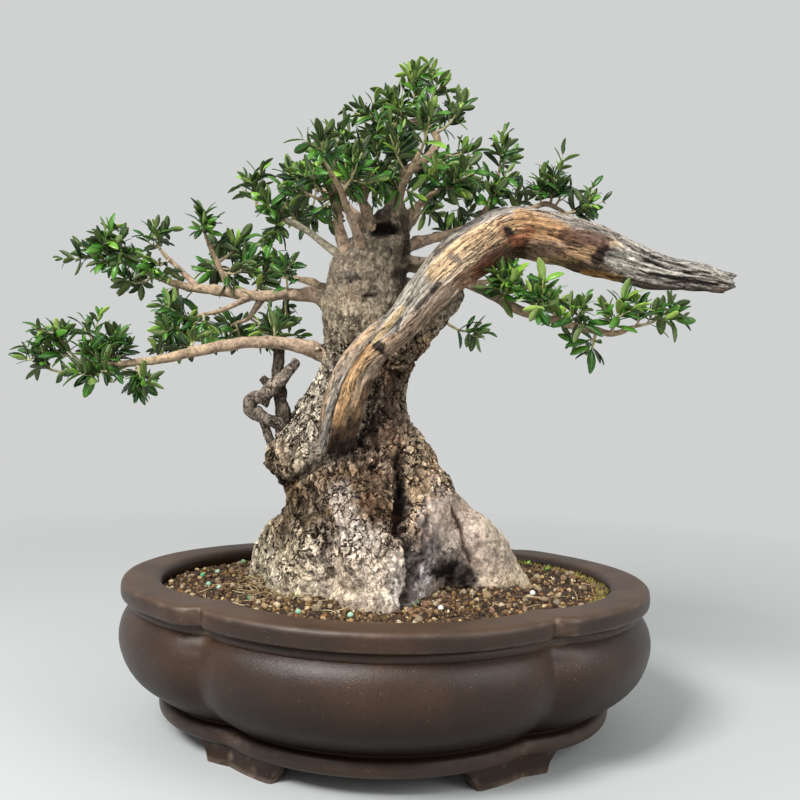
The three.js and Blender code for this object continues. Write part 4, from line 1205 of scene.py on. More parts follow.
limb = {
    "route": [
        (-40, -16, 196), (-38, -38, 214), (-30, -53, 242), (-22, -58, 267), (-9, -61, 285), (8, -63, 300),
        (26, -64, 322), (41, -61, 339), (60, -56, 355), (84, -49, 371), (123, -42, 368), (150, -38, 361),
        (179, -35, 352), (197, -33, 347), (223, -31, 344), (240, -29, 341), (249, -28, 340),
    ],
    "radii": [7, 13, 15, 13, 11.5, 12, 15, 16.5, 17.5, 17.5, 18, 17.5, 15, 12.5, 10.5, 8.6, 6.8],
    "spacing": 1.15,
    "around": 112,
    "evenRadius": 13,  # of the limb laid straight, which its noise is drawn on
    # Fibres and hollows: height as a share of the radius, size, and seed.
    "fibres": [(0.11, (6.5, 6.5, 52), 1410), (0.055, (1.8, 1.8, 24), 1415), (0.10, (11, 11, 22), 1420)],
    "crackSize": (3.2, 3.2, 44),
    "crackDepth": 0.13,
    "warmTone": "#cc9860",
    # Painted light on the upper side and painted shade on the underside.
    "litTopTone": "#aaa399",
    "shadedUnderTone": "#4d3829",
    "backTone": "#948a7e",
    "sootTone": "#2a2624",
}

# What weather and fire left on the limb's front, with painted shade at its foot, in the hollow and along the
# underside: route in x and z, reach, push, tone and share.
limbMarks = {
    "greyStrip": (
        [(-50, 200), (-46, 216), (-40, 237), (-29, 261), (-15, 282), (5, 306)], 4.6, 0.6, "#928a80", 0.85
    ),
    "lineLow": ([(-43, 214), (-36, 244), (-26, 267), (-12, 287)], 1.2, -1.4, "#231e1b", 0.9),
    "lineSide": ([(-47, 206), (-41, 231), (-33, 252)], 0.8, -0.8, "#37302b", 0.8),
    "orangeLow": ([(-35, 232), (-29, 250), (-22, 268), (-12, 283)], 4.2, 0.6, "#b28c62", 0.9),
    "brownLow": ([(-24, 222), (-16, 241), (-11, 256)], 6.5, -0.6, "#5d4734", 0.85),
    # Painted shade where the limb's foot meets the trunk.
    "darkFootShade": ([(-46, 200), (-38, 205), (-24, 210)], 10.0, -1.0, "#2c231d", 0.97),
    "darkHeel": ([(-34, 222), (-22, 226)], 5.0, -0.5, "#4a3a2e", 0.7),
    "footGrey": ([(-46, 206), (-41, 222)], 2.6, 0.4, "#8f867b", 0.8),
    "knotLow": ([(-6, 285), (0, 283)], 3.4, 1.4, "#1c1714", 0.95),
    "speckledGrey": ([(3, 301), (17, 322), (29, 340), (40, 356)], 7.4, 0.0, "#a69e92", 0.85),
    "burntMiddle": ([(20, 312), (26, 318), (33, 325)], 2.0, -0.6, "#2a221d", 0.85),
    "burntKnot": ([(32, 323), (35, 327)], 3.6, 0.8, "#191412", 0.9),
    "burntLow": ([(-2, 296), (8, 304)], 2.4, -0.6, "#2a2420", 0.85),
    "mauveRight": ([(4, 284), (24, 303), (40, 324)], 5.6, 0.0, "#a08873", 0.75),
    "tanStreak": ([(-8, 290), (3, 303), (10, 311)], 2.4, 0.4, "#c0a67c", 0.8),
    "orangeHigh": ([(34, 338), (46, 353), (62, 364), (77, 366)], 8.6, 0.0, "#c2a37d", 0.85),
    "orangeLine": ([(40, 349), (54, 361), (68, 368)], 1.0, -0.8, "#6d4a30", 0.75),
    "brownEdge": ([(50, 331), (68, 345), (81, 350)], 5.3, 0.0, "#84624a", 0.75),
    "knotMiddle": ([(43, 348), (48, 345)], 3.0, 1.2, "#6b6058", 0.8),
    "redKnot": ([(66, 345), (76, 352), (84, 356)], 6.0, 1.2, "#523024", 0.75),
    "redRough": ([(60, 340), (72, 346)], 3.0, 1.0, "#75432b", 0.7),
    # Painted shade in the hollow.
    "hollowShade": ([(82, 368), (85, 363)], 3.2, -3.0, "#1c110d", 0.95),
    "hollowRim": ([(77, 372), (80, 360), (92, 362)], 2.6, 1.2, "#8a5a3c", 0.5),
    "greyTop": (
        [(42, 362), (59, 379), (80, 385), (105, 383), (134, 375), (164, 363)], 5.2, 0.3, "#8d867d", 0.9
    ),
    "soot": ([(49, 371), (62, 378)], 3.4, 0.0, "#625d59", 0.75),
    "orangeCentre": ([(92, 379), (108, 374), (121, 368)], 6.0, 0.3, "#b98f66", 0.8),
    "redCentre": ([(90, 362), (98, 368)], 4.0, -0.4, "#7b452d", 0.7),
    "mauveMiddle": ([(102, 357), (120, 356)], 5.3, 0.3, "#ad8c76", 0.85),
    "tanBright": ([(107, 350), (129, 352), (146, 358)], 3.8, 0.5, "#bf9a72", 0.9),
    "brownMiddle": ([(124, 367), (140, 366), (153, 363)], 4.4, -0.5, "#5f4336", 0.85),
    "knots": ([(148, 353), (157, 357)], 5.0, 1.5, "#2a1a15", 0.95),
    "knotRim": ([(158, 362), (164, 358)], 2.6, 1.4, "#a08a70", 0.8),
    "greyWhite": ([(160, 353), (174, 349)], 7.0, 0.4, "#bdb6aa", 0.9),
    # Painted shade along the limb's underside.
    "underside": ([(91, 347), (120, 344), (149, 339), (179, 331)], 4.2, -0.8, "#3a261c", 0.88),
    "streakHigh": ([(172, 360), (190, 354), (212, 349), (232, 345)], 0.9, -1.8, "#26211e", 0.8),
    "streakMid": ([(182, 352), (204, 346), (228, 343)], 0.7, -1.6, "#2b2522", 0.75),
    "streakLow": ([(187, 343), (217, 339), (240, 337)], 1.0, -1.8, "#241f1c", 0.8),
    "brownTip": ([(179, 333), (210, 330), (248, 331)], 3.0, 0.0, "#6a5245", 0.8),
    "orangeTip": ([(140, 343), (166, 339)], 2.6, 0.4, "#c39059", 0.8),
}

# Tones of the whole limb: x, z, reach and tone.
limbZones = [
    (-38, 210, 12, "#54463c"), (-30, 236, 14, "#937b61"), (-20, 262, 16, "#a4927d"),
    (-6, 285, 16, "#ab9883"), (14, 305, 16, "#a39484"), (30, 326, 16, "#ada08f"),
    (48, 344, 16, "#c8ae8e"), (72, 362, 18, "#b49a7c"), (98, 368, 20, "#ab8763"),
    (128, 360, 20, "#a08067"), (152, 356, 16, "#95806f"), (175, 352, 14, "#b0a89e"),
    (205, 345, 20, "#b4ada3"), (240, 340, 20, "#aaa398"),
]


def limbSwell(angle, places, travelled):
    # Fine fibres and open drying cracks run along the limb, which twists slowly.
    drawn = drawnOut(angle, limb["evenRadius"], travelled)
    flat = drawn.reshape(-1, 3)
    flat = flat + drift(flat, (16, 16, 26), 1400, 1.6)
    form = sum(height * roughNoise(flat, size, seed, 3) for height, size, seed in limb["fibres"])
    cracks = crackField(flat, limb["crackSize"], 1425, 0.11)
    cracks *= ease(-0.2, 0.4, softNoise(flat, (12, 12, 30), 1430))
    form -= limb["crackDepth"] * cracks
    form = form.reshape(drawn.shape[:2]) * (1 + 0.8 * ease(0.72, 0.85, places))
    old = 0.08 * np.sin(3 * angle + 7 * places) + 0.05 * np.sin(5 * angle - 11 * places)
    return 1 + old + form


def tearTip(rings, places, angle):  # into splinters of uneven length
    tip = ease(0.9, 1.0, places)[:, None]
    splinter = 6 * np.sin(2 * angle + 1) + 4 * np.sin(5 * angle) + 3 * np.sin(9 * angle + 2)
    rings[..., 0] += tip * splinter * 0.45
    rings[..., 2] += tip * 1.2 * np.sin(5 * angle)


def modelLimb():
    form = limb["route"], limb["radii"], limb["spacing"], limb["around"], limbSwell
    rings, places, travelled, radius, angle = ringsAlong(*form)
    tearTip(rings, places, angle)
    points, faces = skinRings(rings)
    piece = newPiece("silveredLimb", points, faces, [deadwood])
    normals = readVectors(piece, "normal")
    along = np.append(np.repeat(travelled, limb["around"]), [0, travelled[-1]])
    turn = np.append(np.tile(angle, len(places)), [0, 0])
    reach = np.append(np.repeat(radius, limb["around"]), [5, 2])
    around = drawnOut(turn, limb["evenRadius"], along)
    streak = roughNoise(around, (4.5, 4.5, 40), 1440, 4)
    speckle = roughNoise(around, (2.4, 2.4, 6), 1445, 3)
    colours = zoneTones(points, limbZones)
    warm = ease(0.0, 0.5, roughNoise(around, (6, 6, 40), 1450, 3)) * ease(185, 150, points[:, 0])
    topSide = ease(0.3, 0.8, normals[:, 2])
    tint(colours, limb["warmTone"], 0.3 * warm)
    # Painted light turns the upper side lighter grey, and painted shade turns the underside dark brown.
    tint(colours, limb["litTopTone"], topSide * 0.8)
    tint(colours, limb["shadedUnderTone"], ease(-0.15, -0.75, normals[:, 2]) * 0.75)
    tint(colours, limb["backTone"], ease(0.0, 0.6, normals[:, 1]) * 0.6)
    push = np.zeros(len(points))
    front = ease(0.45, -0.05, normals[:, 1])
    ragged = 1 + 0.55 * streak + 0.35 * speckle
    for route, size, stand, code, share in limbMarks.values():
        away = strokeGap(points, route) / (size * ragged.clip(0.35, 2))
        push += stand * np.exp(-(away**2) * 1.1) * front
        tint(colours, code, share * ease(1.2, 0.8, away + 0.22 * speckle) * front)
    colours *= (1 + 0.22 * streak + 0.16 * speckle)[:, None].clip(0.35, 1.6)
    soot = ease(0.16, 0.42, roughNoise(around, (4, 4, 13), 1460, 4)) * (0.25 + 0.75 * topSide)
    soot = soot * np.maximum(ease(150, 180, points[:, 0]), ease(60, 0, np.abs(points[:, 0] - 30)))
    tint(colours, limb["sootTone"], soot * 0.8)
    movePoints(piece, points + normals * push[:, None])
    paint(piece, np.clip(colours, 0.004, 0.9))
    mark(piece, "char", np.clip(0.25 + 0.6 * np.maximum(soot, ease(60, 90, points[:, 0])), 0, 1))
    markPlace(piece, "grain", drawnOut(turn, reach, along) / 1000)
    return piece


keep(modelLimb(), "deadwood", "dead_limb")
print("limb ready")

# The leafy sprays.

# Each spray: the branch it grows on, its place along it, and where it ends.
sprays = {
    "low_left_tip": ("lowLeft", 1, (-268, -42, 273)), "low_left_end": ("lowLeft", 0.94, (-244, -40, 288)),
    "low_left_mid": ("lowLeft", 0.8, (-208, -30, 286)), "low_left_under": ("lowLeft", 0.86, (-212, -54, 262)),
    "low_left_drop": ("lowLeft", 0.72, (-182, -40, 258)),
    "low_left_near": ("lowLeft", 0.64, (-172, -20, 289)),
    "low_left_sprig": ("lowLeft", 0.24, (-90, -4, 305)), "mid_left_tip": ("midLeft", 1, (-246, 14, 358)),
    "mid_left_top": ("midLeft", 0.95, (-228, 0, 372)), "mid_left_end": ("midLeft", 0.88, (-222, 28, 342)),
    "mid_left_fork": ("midLeftFork", 1, (-193, 14, 376)), "mid_left_up": ("midLeftUp", 1, (-150, -4, 388)),
    "mid_left_cross": ("midLeftUp", 0.5, (-124, 16, 374)), "mid_left_in": ("midLeft", 0.42, (-104, 24, 356)),
    "mid_left_near": ("midLeft", 0.3, (-82, -10, 348)), "mid_left_low": ("midLeftLow", 1, (-166, -10, 309)),
    "mid_left_back": ("midLeftBack", 1, (-138, 42, 310)), "up_left_tip": ("upLeftTip", 1, (-118, 30, 422)),
    "up_left_in": ("upLeft", 0.9, (-98, -2, 398)), "up_left_back": ("upLeft", 0.6, (-84, 38, 404)),
    "up_left_high": ("leftLeader", 1, (-82, -16, 420)), "shoulder_top": ("shoulder", 1, (-42, -42, 442)),
    "shoulder_left": ("shoulder", 0.72, (-64, -44, 414)),
    "shoulder_front": ("frontLeft", 1, (-46, -100, 418)),
    "front_right": ("frontLeft", 0.6, (-20, -74, 420)), "left_fork": ("leftFork", 1, (-14, -26, 444)),
    "apex": ("leader", 1, (12, 2, 502)), "apex_right": ("leader", 0.9, (32, -8, 492)),
    "crown_right": ("leader", 0.72, (50, -8, 474)), "crown_left": ("leaderLeft", 1, (-24, -20, 466)),
    "crown_left_high": ("leaderLeft", 0.5, (0, -2, 478)), "crown_side": ("leader", 0.56, (60, 14, 448)),
    "crown_front": ("frontMid", 1, (26, -86, 440)), "crown_low": ("frontMid", 0.6, (-2, -62, 436)),
    "crown_near": ("leaderLow", 1, (48, -26, 414)), "crown_mid": ("leader", 0.42, (2, -20, 446)),
    "crown_back": ("leader", 0.3, (8, 46, 452)), "right_up": ("rightUp", 1, (84, 18, 452)),
    "right_crest": ("rightBack", 0.6, (100, 40, 420)), "right_near": ("rightBack", 0.45, (76, 6, 412)),
    "right_mid": ("rightBack", 0.82, (126, 14, 428)), "right_tip": ("rightBack", 1, (152, 12, 406)),
    "right_behind": ("rightBack", 0.26, (46, 54, 392)), "low_right_in": ("lowRight", 0.36, (84, -62, 331)),
    "low_right_front": ("lowRight", 0.52, (106, -78, 332)),
    "low_right_mid": ("lowRight", 0.6, (118, -32, 322)),
    "low_right_hang": ("lowRight", 0.76, (146, -46, 286)),
    "low_right_end": ("lowRight", 0.84, (162, -68, 320)),
    "low_right_tip": ("lowRight", 1, (200, -56, 318)), "small_right": ("smallRight", 1, (66, 12, 304)),
    "back_left_high": ("backLeft", 1, (-88, 90, 444)), "back_mid": ("backMid", 1, (24, 112, 426)),
    "back_left_low": ("backLow", 1, (-112, 112, 364)), "back_right": ("backRight", 1, (100, 98, 364)),
}

# Small sprigs fill the crown and the pads between the sprays; each grows from the nearest branch.
sprigEnds = [
    (-60, -18, 424), (-44, -12, 430), (-34, 0, 444), (-78, 12, 424),
    (-10, -30, 422), (28, -22, 418), (79, 15, 418), (60, 14, 416),
    (-24, -50, 418), (36, 0, 434), (-9, 0, 458), (20, 10, 430), (46, 16, 424),
    (-20, 24, 440), (-143, 10, 368), (-114, 12, 355), (-173, 18, 326),
    (-83, 18, 312), (-98, 4, 372), (-200, 6, 352), (-186, -2, 350), (-244, -34, 280), (-208, -35, 280),
    (-190, -34, 264), (-150, -26, 290), (78, -58, 338), (104, -58, 322), (136, -62, 316), (178, -56, 312),
    (112, 20, 418), (132, 18, 416), (-40, 44, 430), (-6, 60, 440), (30, 54, 420), (-60, 58, 410),
    (60, 50, 404), (-80, 84, 400), (60, 84, 372), (-20, 84, 360), (10, 30, 468), (2, -14, 470),
    (-145, 20, 348), (-129, 24, 350), (-116, 12, 358), (-164, -8, 306), (-167, -10, 294),
    (-145, -4, 303), (-102, 30, 303), (-128, 40, 297), (-222, -36, 292), (-246, -38, 290),
    (-215, -40, 275), (-232, 5, 368), (-216, 10, 360), (-78, 44, 300),
    (-31, -34, 409), (-13, -36, 412), (3, -34, 404), (-44, -26, 402),
]

# Main leaves sit in rosettes: place along the stem, lean from the stem, and how many.
rosettes = [(0.4, 1.25, 2), (0.7, 1.05, 4), (0.98, 0.75, 4)]

leaf = {
    "length": 17.5,
    "width": 6.3,
    "thickness": 0.4,
    "rows": 6,
    # Droop, fold and sideways sweep of each kind of blade.
    "kinds": [
        (0.05, 0.14, 0.02), (0.15, 0.1, -0.05), (0.1, 0.22, 0.06), (0.22, 0.12, -0.02), (-0.04, 0.26, 0.03),
    ],
    # Side shoots of a spray, how far they reach, and how far apart their pairs of leaves sit.
    "shoots": 4,
    "fewShoots": {
        "low_right_hang": 1, "small_right": 2, "low_left_drop": 2, "mid_left_low": 3, "mid_left_near": 3,
    },
    "shootReach": (9, 22),
    "shootLean": (0.45, 1.1),
    "pairSpacing": (4.6, 6.4),
    "fallen": 0.08,  # the share that is missing
    "youngSprays": ("low_right_in", "low_right_front", "low_right_end", "low_right_mid", "apex"),
    "stemTones": ("#ab9680", "#98a05c"),
    "plainStem": 1.1,  # radius of the stems of the plain leaves, which the roots of these leaves keep to
    "sprayStem": 1.3,
    "sprigStem": 1.1,
    "seeds": {"draw": 41, "sprays": 900, "sprigs": 2100},
}


def modelLeaf(droop, fold, sweep):
    # One blade along +Y with its upper side up: a blunt oval, folded along its rib.
    grid = {"x_subdivisions": 2, "y_subdivisions": leaf["rows"], "size": 2, "location": (0, 0, 0)}
    blade = added(bpy.ops.mesh.primitive_grid_add, **grid)
    flat = readVectors(blade, "co")
    across = flat[:, 0]
    along = (1 - np.cos(math.pi * (flat[:, 1] + 1) / 2)) / 2
    outline = np.sin(math.pi * along**1.15).clip(0, 1) ** 0.62
    outline = np.maximum(outline, 0.09 * (along < 0.5))
    half, length = leaf["width"] / 2, leaf["length"]
    lift = fold * np.abs(across) * outline * half - droop * length * along**2
    lift += 0.05 * length * np.sin(math.pi * along)
    shaped = np.column_stack([across * outline * half + sweep * length * along**2, along * length, lift])
    blade.data.vertices.foreach_set("co", shaped.ravel())
    mark(blade, "aside", across)
    editAll(blade, bpy.ops.mesh.remove_doubles, threshold=0.02)
    blade.data.materials.append(leafTop)
    blade.data.materials.append(leafUnder)
    finishWith(blade, "SOLIDIFY", thickness=leaf["thickness"], offset=-1, use_rim=True, material_offset=1)
    mesh = blade.data
    shape = {
        "points": np.array([vertex.co for vertex in mesh.vertices]),
        "faces": [list(face.vertices) for face in mesh.polygons],
        "sides": np.array([face.material_index for face in mesh.polygons]),
        "aside": np.array([value.value for value in mesh.attributes["aside"].data]),
    }
    bpy.data.objects.remove(blade)
    return shape


def seededDraw(seed):  # repeatable numbers from 0 to 1, by the mulberry rule
    state = seed

    def draw():
        nonlocal state
        state = (state + 0x6D2B79F5) & 0xFFFFFFFF
        mixed = ((state ^ (state >> 15)) * (1 | state)) & 0xFFFFFFFF
        mixed ^= (mixed + (((mixed ^ (mixed >> 7)) * (61 | mixed)) & 0xFFFFFFFF)) & 0xFFFFFFFF
        return ((mixed ^ (mixed >> 14)) & 0xFFFFFFFF) / 4294967296

    return draw


def stemOf(branch, at, end):
    start = smoothRoute(branches[branch][0], [at])[0]
    end = np.array(end, float)
    bend = (start + end) / 2
    bend[2] -= 0.12 * np.linalg.norm(end - start)
    return np.array([start, bend, end])


def mainLeaves(stem, draw):
    # The same draws, in the same order, as the ones that placed the plain leaves.
    half = leaf["plainStem"] / routeLength(stem)
    places = [0.0]
    for at, _, _ in rosettes:
        places += [at - half, at + half]
    side = np.array([draw() - 0.5, draw() - 0.5, draw() - 0.5])
    rings = []
    for place in places:
        near = smoothRoute(stem, [max(0, place - 1e-4), min(1, place + 1e-4)])
        ahead = unit(near[1] - near[0])
        side = unit(side - ahead * np.dot(side, ahead))
        across = np.cross(ahead, side)
        centre = smoothRoute(stem, [place])[0]
        spokes = (side, across, -side, -across)
        rings.append((ahead, [centre + spoke * leaf["plainStem"] for spoke in spokes]))
    leaves = []
    for index, (_, lean, count) in enumerate(rosettes):
        ring, above = rings[2 * index + 1], rings[2 * index + 2]
        for corner in range(4):
            if (corner * count) % 4:
                continue
            following = (corner + 1) % 4
            lower = ring[1][corner], ring[1][following]
            root = (lower[0] + lower[1] + above[1][corner] + above[1][following]) / 4
            across = unit(lower[1] - lower[0])
            out = unit(np.cross(across, ring[0]))
            tilt = lean + 0.35 * (draw() - 0.5)
            direction = ring[0] * math.cos(tilt) + out * math.sin(tilt) + across * 0.5 * (draw() - 0.5)
            direction[2] += 0.12
            direction = unit(direction)
            length = 0.85 + 0.3 * draw()
            leaves.append((root, direction, across, length))
    return leaves


def growShoots(stem, random, amount):
    # Side shoots fill a spray out, each with pairs of leaves set crosswise along it.
    leaves, shoots = [], []
    for _ in range(amount):
        place = random.uniform(0.1, 0.95)
        near = smoothRoute(stem, [place, min(1, place + 0.02)])
        ahead = unit(near[1] - near[0] + 1e-6)
        sideways = unit(np.cross(ahead, random.normal(size=3)))
        lean = random.uniform(*leaf["shootLean"])
        direction = unit(ahead * math.cos(lean) + sideways * math.sin(lean) + [0, 0, 0.2])
        end = near[0] + direction * random.uniform(*leaf["shootReach"])
        middle = (near[0] + end) / 2 + random.normal(size=3) * 1.2
        shoots.append(np.array([near[0], middle, end]))
        leaves += pairsAlong(shoots[-1], random, 0.25)
    return leaves, shoots


def pairsAlong(shoot, random, youngEnd):
    leaves = []
    length = np.linalg.norm(shoot[-1] - shoot[0])
    count = max(2, int(length / random.uniform(*leaf["pairSpacing"])))
    spin = random.uniform(0, math.pi)
    for pair in range(count + 1):
        at = min(1.0, (pair + 0.7) / (count + 0.7))
        root = smoothRoute(shoot, [at])[0]
        near = smoothRoute(shoot, [max(0, at - 0.05), min(1, at + 0.05)])
        ahead = unit(near[1] - near[0])
        axis = unit(np.cross(ahead, [0.3, 0.5, 0.8]))
        turn = spin + pair * math.pi / 2 + random.normal() * 0.2
        out = axis * math.cos(turn) + np.cross(ahead, axis) * math.sin(turn)
        lean = 1.2 - 0.55 * at + random.uniform(-0.25, 0.25)
        for sign in (1, -1):
            if random.uniform() < leaf["fallen"]:
                continue
            aim = ahead * math.cos(lean) + sign * out * math.sin(lean) + random.normal(size=3) * 0.16
            across = unit(np.cross(ahead, out) * sign + random.normal(size=3) * 0.15)
            size = random.uniform(0.62, 1.08) * (1.0 - 0.3 * max(0.0, at - 0.6) / 0.4)
            leaves.append((root, unit(aim), across, size, youngEnd * at))
    return leaves


def leafPiece(name, leaves, random, youth, materials):
    points, faces, sides, asides, ages = [], [], [], [], []
    start = 0
    for root, direction, across, size, young in leaves:
        shape = leafShapes[random.integers(len(leafShapes))]
        across = unit(across - direction * np.dot(across, direction))
        up = np.cross(across, direction)
        if up[2] < -0.15:  # leaves turn their upper side to the light
            across, up = -across, -up
        roll = random.normal() * 0.4
        cos, sin = math.cos(roll), math.sin(roll)
        across, up = across * cos + up * sin, up * cos - across * sin
        local = shape["points"] * [size * random.uniform(0.78, 1.12), size, size]
        points.append(root + local[:, :1] * across + local[:, 1:2] * direction + local[:, 2:] * up)
        faces += [[start + corner for corner in face] for face in shape["faces"]]
        sides.append(shape["sides"])
        asides.append(shape["aside"])
        ages.append(np.full(len(local), np.clip(random.normal(0.32, 0.2) + youth + young, 0, 1)))
        start += len(local)
    piece = newPiece(name, np.concatenate(points), faces, materials)
    piece.data.polygons.foreach_set("material_index", np.concatenate(sides))
    mark(piece, "aside", np.concatenate(asides))
    mark(piece, "age", np.concatenate(ages))
    return piece


def modelSpray(name, stem, leaves, shoots, random, youth, thickness):
    materials = [leafTop, leafUnder, twigBark]
    parts = [leafPiece(name, leaves, random, youth, materials)]
    old, young = (tone(code) for code in leaf["stemTones"])
    tubes = [(stem, [thickness, thickness * 0.75, 0.45], 4, 8)]
    tubes += [(shoot, [0.7, 0.55, 0.3], 4, 5) for shoot in shoots]
    for form in tubes:
        skin, faces = skinRings(ringsAlong(*form)[0])
        part = newPiece("stem", skin, faces, materials)
        part.data.polygons.foreach_set("material_index", np.full(len(faces), 2))
        paint(part, old + (young - old) * np.linspace(0, 1, len(skin))[:, None])
        parts.append(part)
    return joinPieces(name, parts)


def modelSprays():  # one for each leafy stem; gives how many leaves they hold
    sprayDraw = seededDraw(leaf["seeds"]["draw"])
    leafCount = 0
    for number, (name, (branch, at, end)) in enumerate(sprays.items()):
        random = np.random.default_rng(leaf["seeds"]["sprays"] + number)
        stem = stemOf(branch, at, end)
        leaves = []
        for root, aim, across, length in mainLeaves(stem, sprayDraw):
            root = root + random.normal(size=3) * 0.8
            aim = unit(aim + random.normal(size=3) * 0.22)
            leaves.append((root, aim, across, length * random.uniform(0.62, 1.02), 0.1))
        extra, shoots = growShoots(stem, random, leaf["fewShoots"].get(name, leaf["shoots"]))
        youth = 0.26 if name in leaf["youngSprays"] else 0.0
        leaves += extra
        piece = modelSpray("leaves_" + name, stem, leaves, shoots, random, youth, leaf["sprayStem"])
        keep(piece, "leaf", "spray_" + name)
        leafCount += len(leaves)
    return leafCount


def nearestOnBranches(end):
    best = None
    for route, _ in branches.values():
        line = smoothRoute(route, np.linspace(0.25, 1, 40))
        gaps = np.linalg.norm(line - end, axis=1)
        if best is None or gaps.min() < best[0]:
            best = gaps.min(), line[gaps.argmin()]
    return best[1]


def modelSprigs():
    sprigs, leafCount = [], 0
    for number, end in enumerate(sprigEnds):
        random = np.random.default_rng(leaf["seeds"]["sprigs"] + number)
        end = np.array(end, float)
        start = nearestOnBranches(end)
        bend = (start + end) / 2 - [0, 0, 0.1 * np.linalg.norm(end - start)] + random.normal(size=3) * 1.5
        stem = np.array([start, bend, end])
        extra, shoots = growShoots(stem, random, 3)
        leaves = pairsAlong(np.array([(bend + end) / 2, (bend + 3 * end) / 4, end]), random, 0.2) + extra
        sprigs.append(modelSpray("sprig", stem, leaves, shoots, random, 0.04, leaf["sprigStem"]))
        leafCount += len(leaves)
    keep(joinPieces("crownSprigs", sprigs), "leaf")
    return leafCount


leafShapes = [modelLeaf(*kind) for kind in leaf["kinds"]]
print("sprays ready:", modelSprays() + modelSprigs(), "leaves")

# The soil.

soil = {
    "level": 105.5,
    "edge": 29.2,  # inset of the pot's inner wall at the soil's surface
    "edgeSoftness": 6,
    "bedTone": "#3f2b1b",
    "granules": 6200,
    "grainSizes": [0.7, 1.05, 1.5, 2.1],
    "sizeShares": [0.3, 0.38, 0.22, 0.1],
    "palette": ["#3d2b1b", "#5e452b", "#7d603c", "#9c7b4d", "#b8965f", "#8f5f36", "#cfb487", "#e2d2b0"],
    "shares": [0.32, 0.26, 0.17, 0.1, 0.05, 0.05, 0.03, 0.02],
    "mossTone": "#8d7c3c",
    "mossReach": 9,  # from the pot's wall, at the right
    "seed": 77,
}


def soilHeight(x, y):
    points = np.column_stack([x, y, np.zeros_like(x)])
    sunk = 4.0 * ease(0.1, 0.9, -x / 170 + y / 400)
    rise = 3.0 * np.exp(-((x + 10) ** 2 + (y + 10) ** 2) / 110**2)
    return soil["level"] - sunk + rise + roughNoise(points, 26, 500, 3) * 1.6


def soilEdge(angles, inset=0):
    return potReach(angles, soil["edge"] + inset, soil["edgeSoftness"])


def onSoil(x, y, above):
    return np.array([x, y, float(soilHeight(np.array([x]), np.array([y]))[0]) + above])


def randomSpot(random, inset):  # and how far it is from the pot's wall
    angle = random.uniform(0, 2 * math.pi)
    edge = float(soilEdge(np.array([angle]), inset)[0])
    share = math.sqrt(random.uniform(0.1, 1))
    return edge * share * math.cos(angle), edge * share * math.sin(angle), edge * (1 - share)


def modelBed():
    angles = fullTurn(180)
    edge = soilEdge(angles)
    rings = []
    for share in np.concatenate([[0.3, 0.36], np.linspace(0.42, 1.0, 46)]):
        x, y = edge * share * np.cos(angles), edge * share * np.sin(angles)
        ring = np.column_stack([x, y, soilHeight(x, y)])
        ring[:, 2] += roughNoise(ring * [1, 1, 0], 5, 510, 3) * 1.3
        rings.append(ring)
    rings.append(rings[-1] * [0.97, 0.97, 1] - [0, 0, 12])
    rings.insert(0, rings[0] - [0, 0, 12])
    points, faces = skinRings(np.array(rings))
    piece = newPiece("soilBed", points, faces, [earth])
    editAll(piece, bpy.ops.mesh.normals_make_consistent, inside=False)
    shade = 0.55 + 0.45 * ease(-0.4, 0.5, roughNoise(points, 4, 520, 3))
    paint(piece, tone(soil["bedTone"]) * shade[:, None])
    return piece


def ballShape(subdivisions):
    form = {"subdivisions": subdivisions, "radius": 1, "location": (0, 0, 0)}
    ball = added(bpy.ops.mesh.primitive_ico_sphere_add, **form)
    points = np.array([vertex.co for vertex in ball.data.vertices])
    faces = [list(face.vertices) for face in ball.data.polygons]
    bpy.data.objects.remove(ball)
    return points, faces


trunkTree = BVHTree.FromObject(trunkPiece, bpy.context.evaluated_depsgraph_get())


def offTrunk(place):  # how far outside the bark, in millimetres
    spot = Vector(toScene(place))
    near, normal, _, distance = trunkTree.find_nearest(spot)
    return 1000 * distance * (1 if (spot - near).dot(normal) >= 0 else -1)


def gather(count, lay):  # lay gives a bit, or nothing where it can't lie
    bits = []
    while len(bits) < count:
        bit = lay(len(bits))
        if bit:
            bits.append(bit)
    return bits


def joinBits(name, bits, material, smooth=True):  # each bit is points, faces and one colour
    points, faces, colours = [], [], []
    start = 0
    for bit, bitFaces, colour in bits:
        points.append(bit)
        faces += [[start + corner for corner in face] for face in bitFaces]
        colours.append(np.repeat(colour[None], len(bit), axis=0))
        start += len(bit)
    piece = newPiece(name, np.concatenate(points), faces, [material], smooth)
    paint(piece, np.concatenate(colours))
    return piece


def randomTurn(random):
    return np.array(Quaternion(unit(random.normal(size=3)), random.uniform(0, 6)).to_matrix())


def anyTone(random, codes):
    return tone(codes[random.integers(len(codes))])


def scatterGrains(random):
    def grainPlace(_):
        x, y, fromEdge = randomSpot(random, 1)
        place = onSoil(x, y, random.uniform(-0.6, 1.0))
        return (place, fromEdge) if offTrunk(place) > 0 else None

    ball, faces = ballShape(1)
    palette = np.array([tone(code) for code in soil["palette"]])
    bits = []
    for place, fromEdge in gather(soil["granules"], grainPlace):
        size = random.choice(soil["grainSizes"], p=soil["sizeShares"])
        colour = palette[random.choice(len(palette), p=soil["shares"])] * random.uniform(0.5, 1.05)
        if place[0] > 60 and place[1] > -70 and fromEdge < soil["mossReach"]:
            size *= 0.75
            colour = tone(soil["mossTone"]) * random.uniform(0.6, 1.3)
        stretch = random.uniform(0.65, 1.25, 3) * size
        turn = randomTurn(random)
        bit = (ball * random.uniform(0.75, 1.2, (len(ball), 1)) * stretch) @ turn.T
        bits.append((bit + place, faces, colour))
    return joinBits("soilGrains", bits, earth, smooth=False)


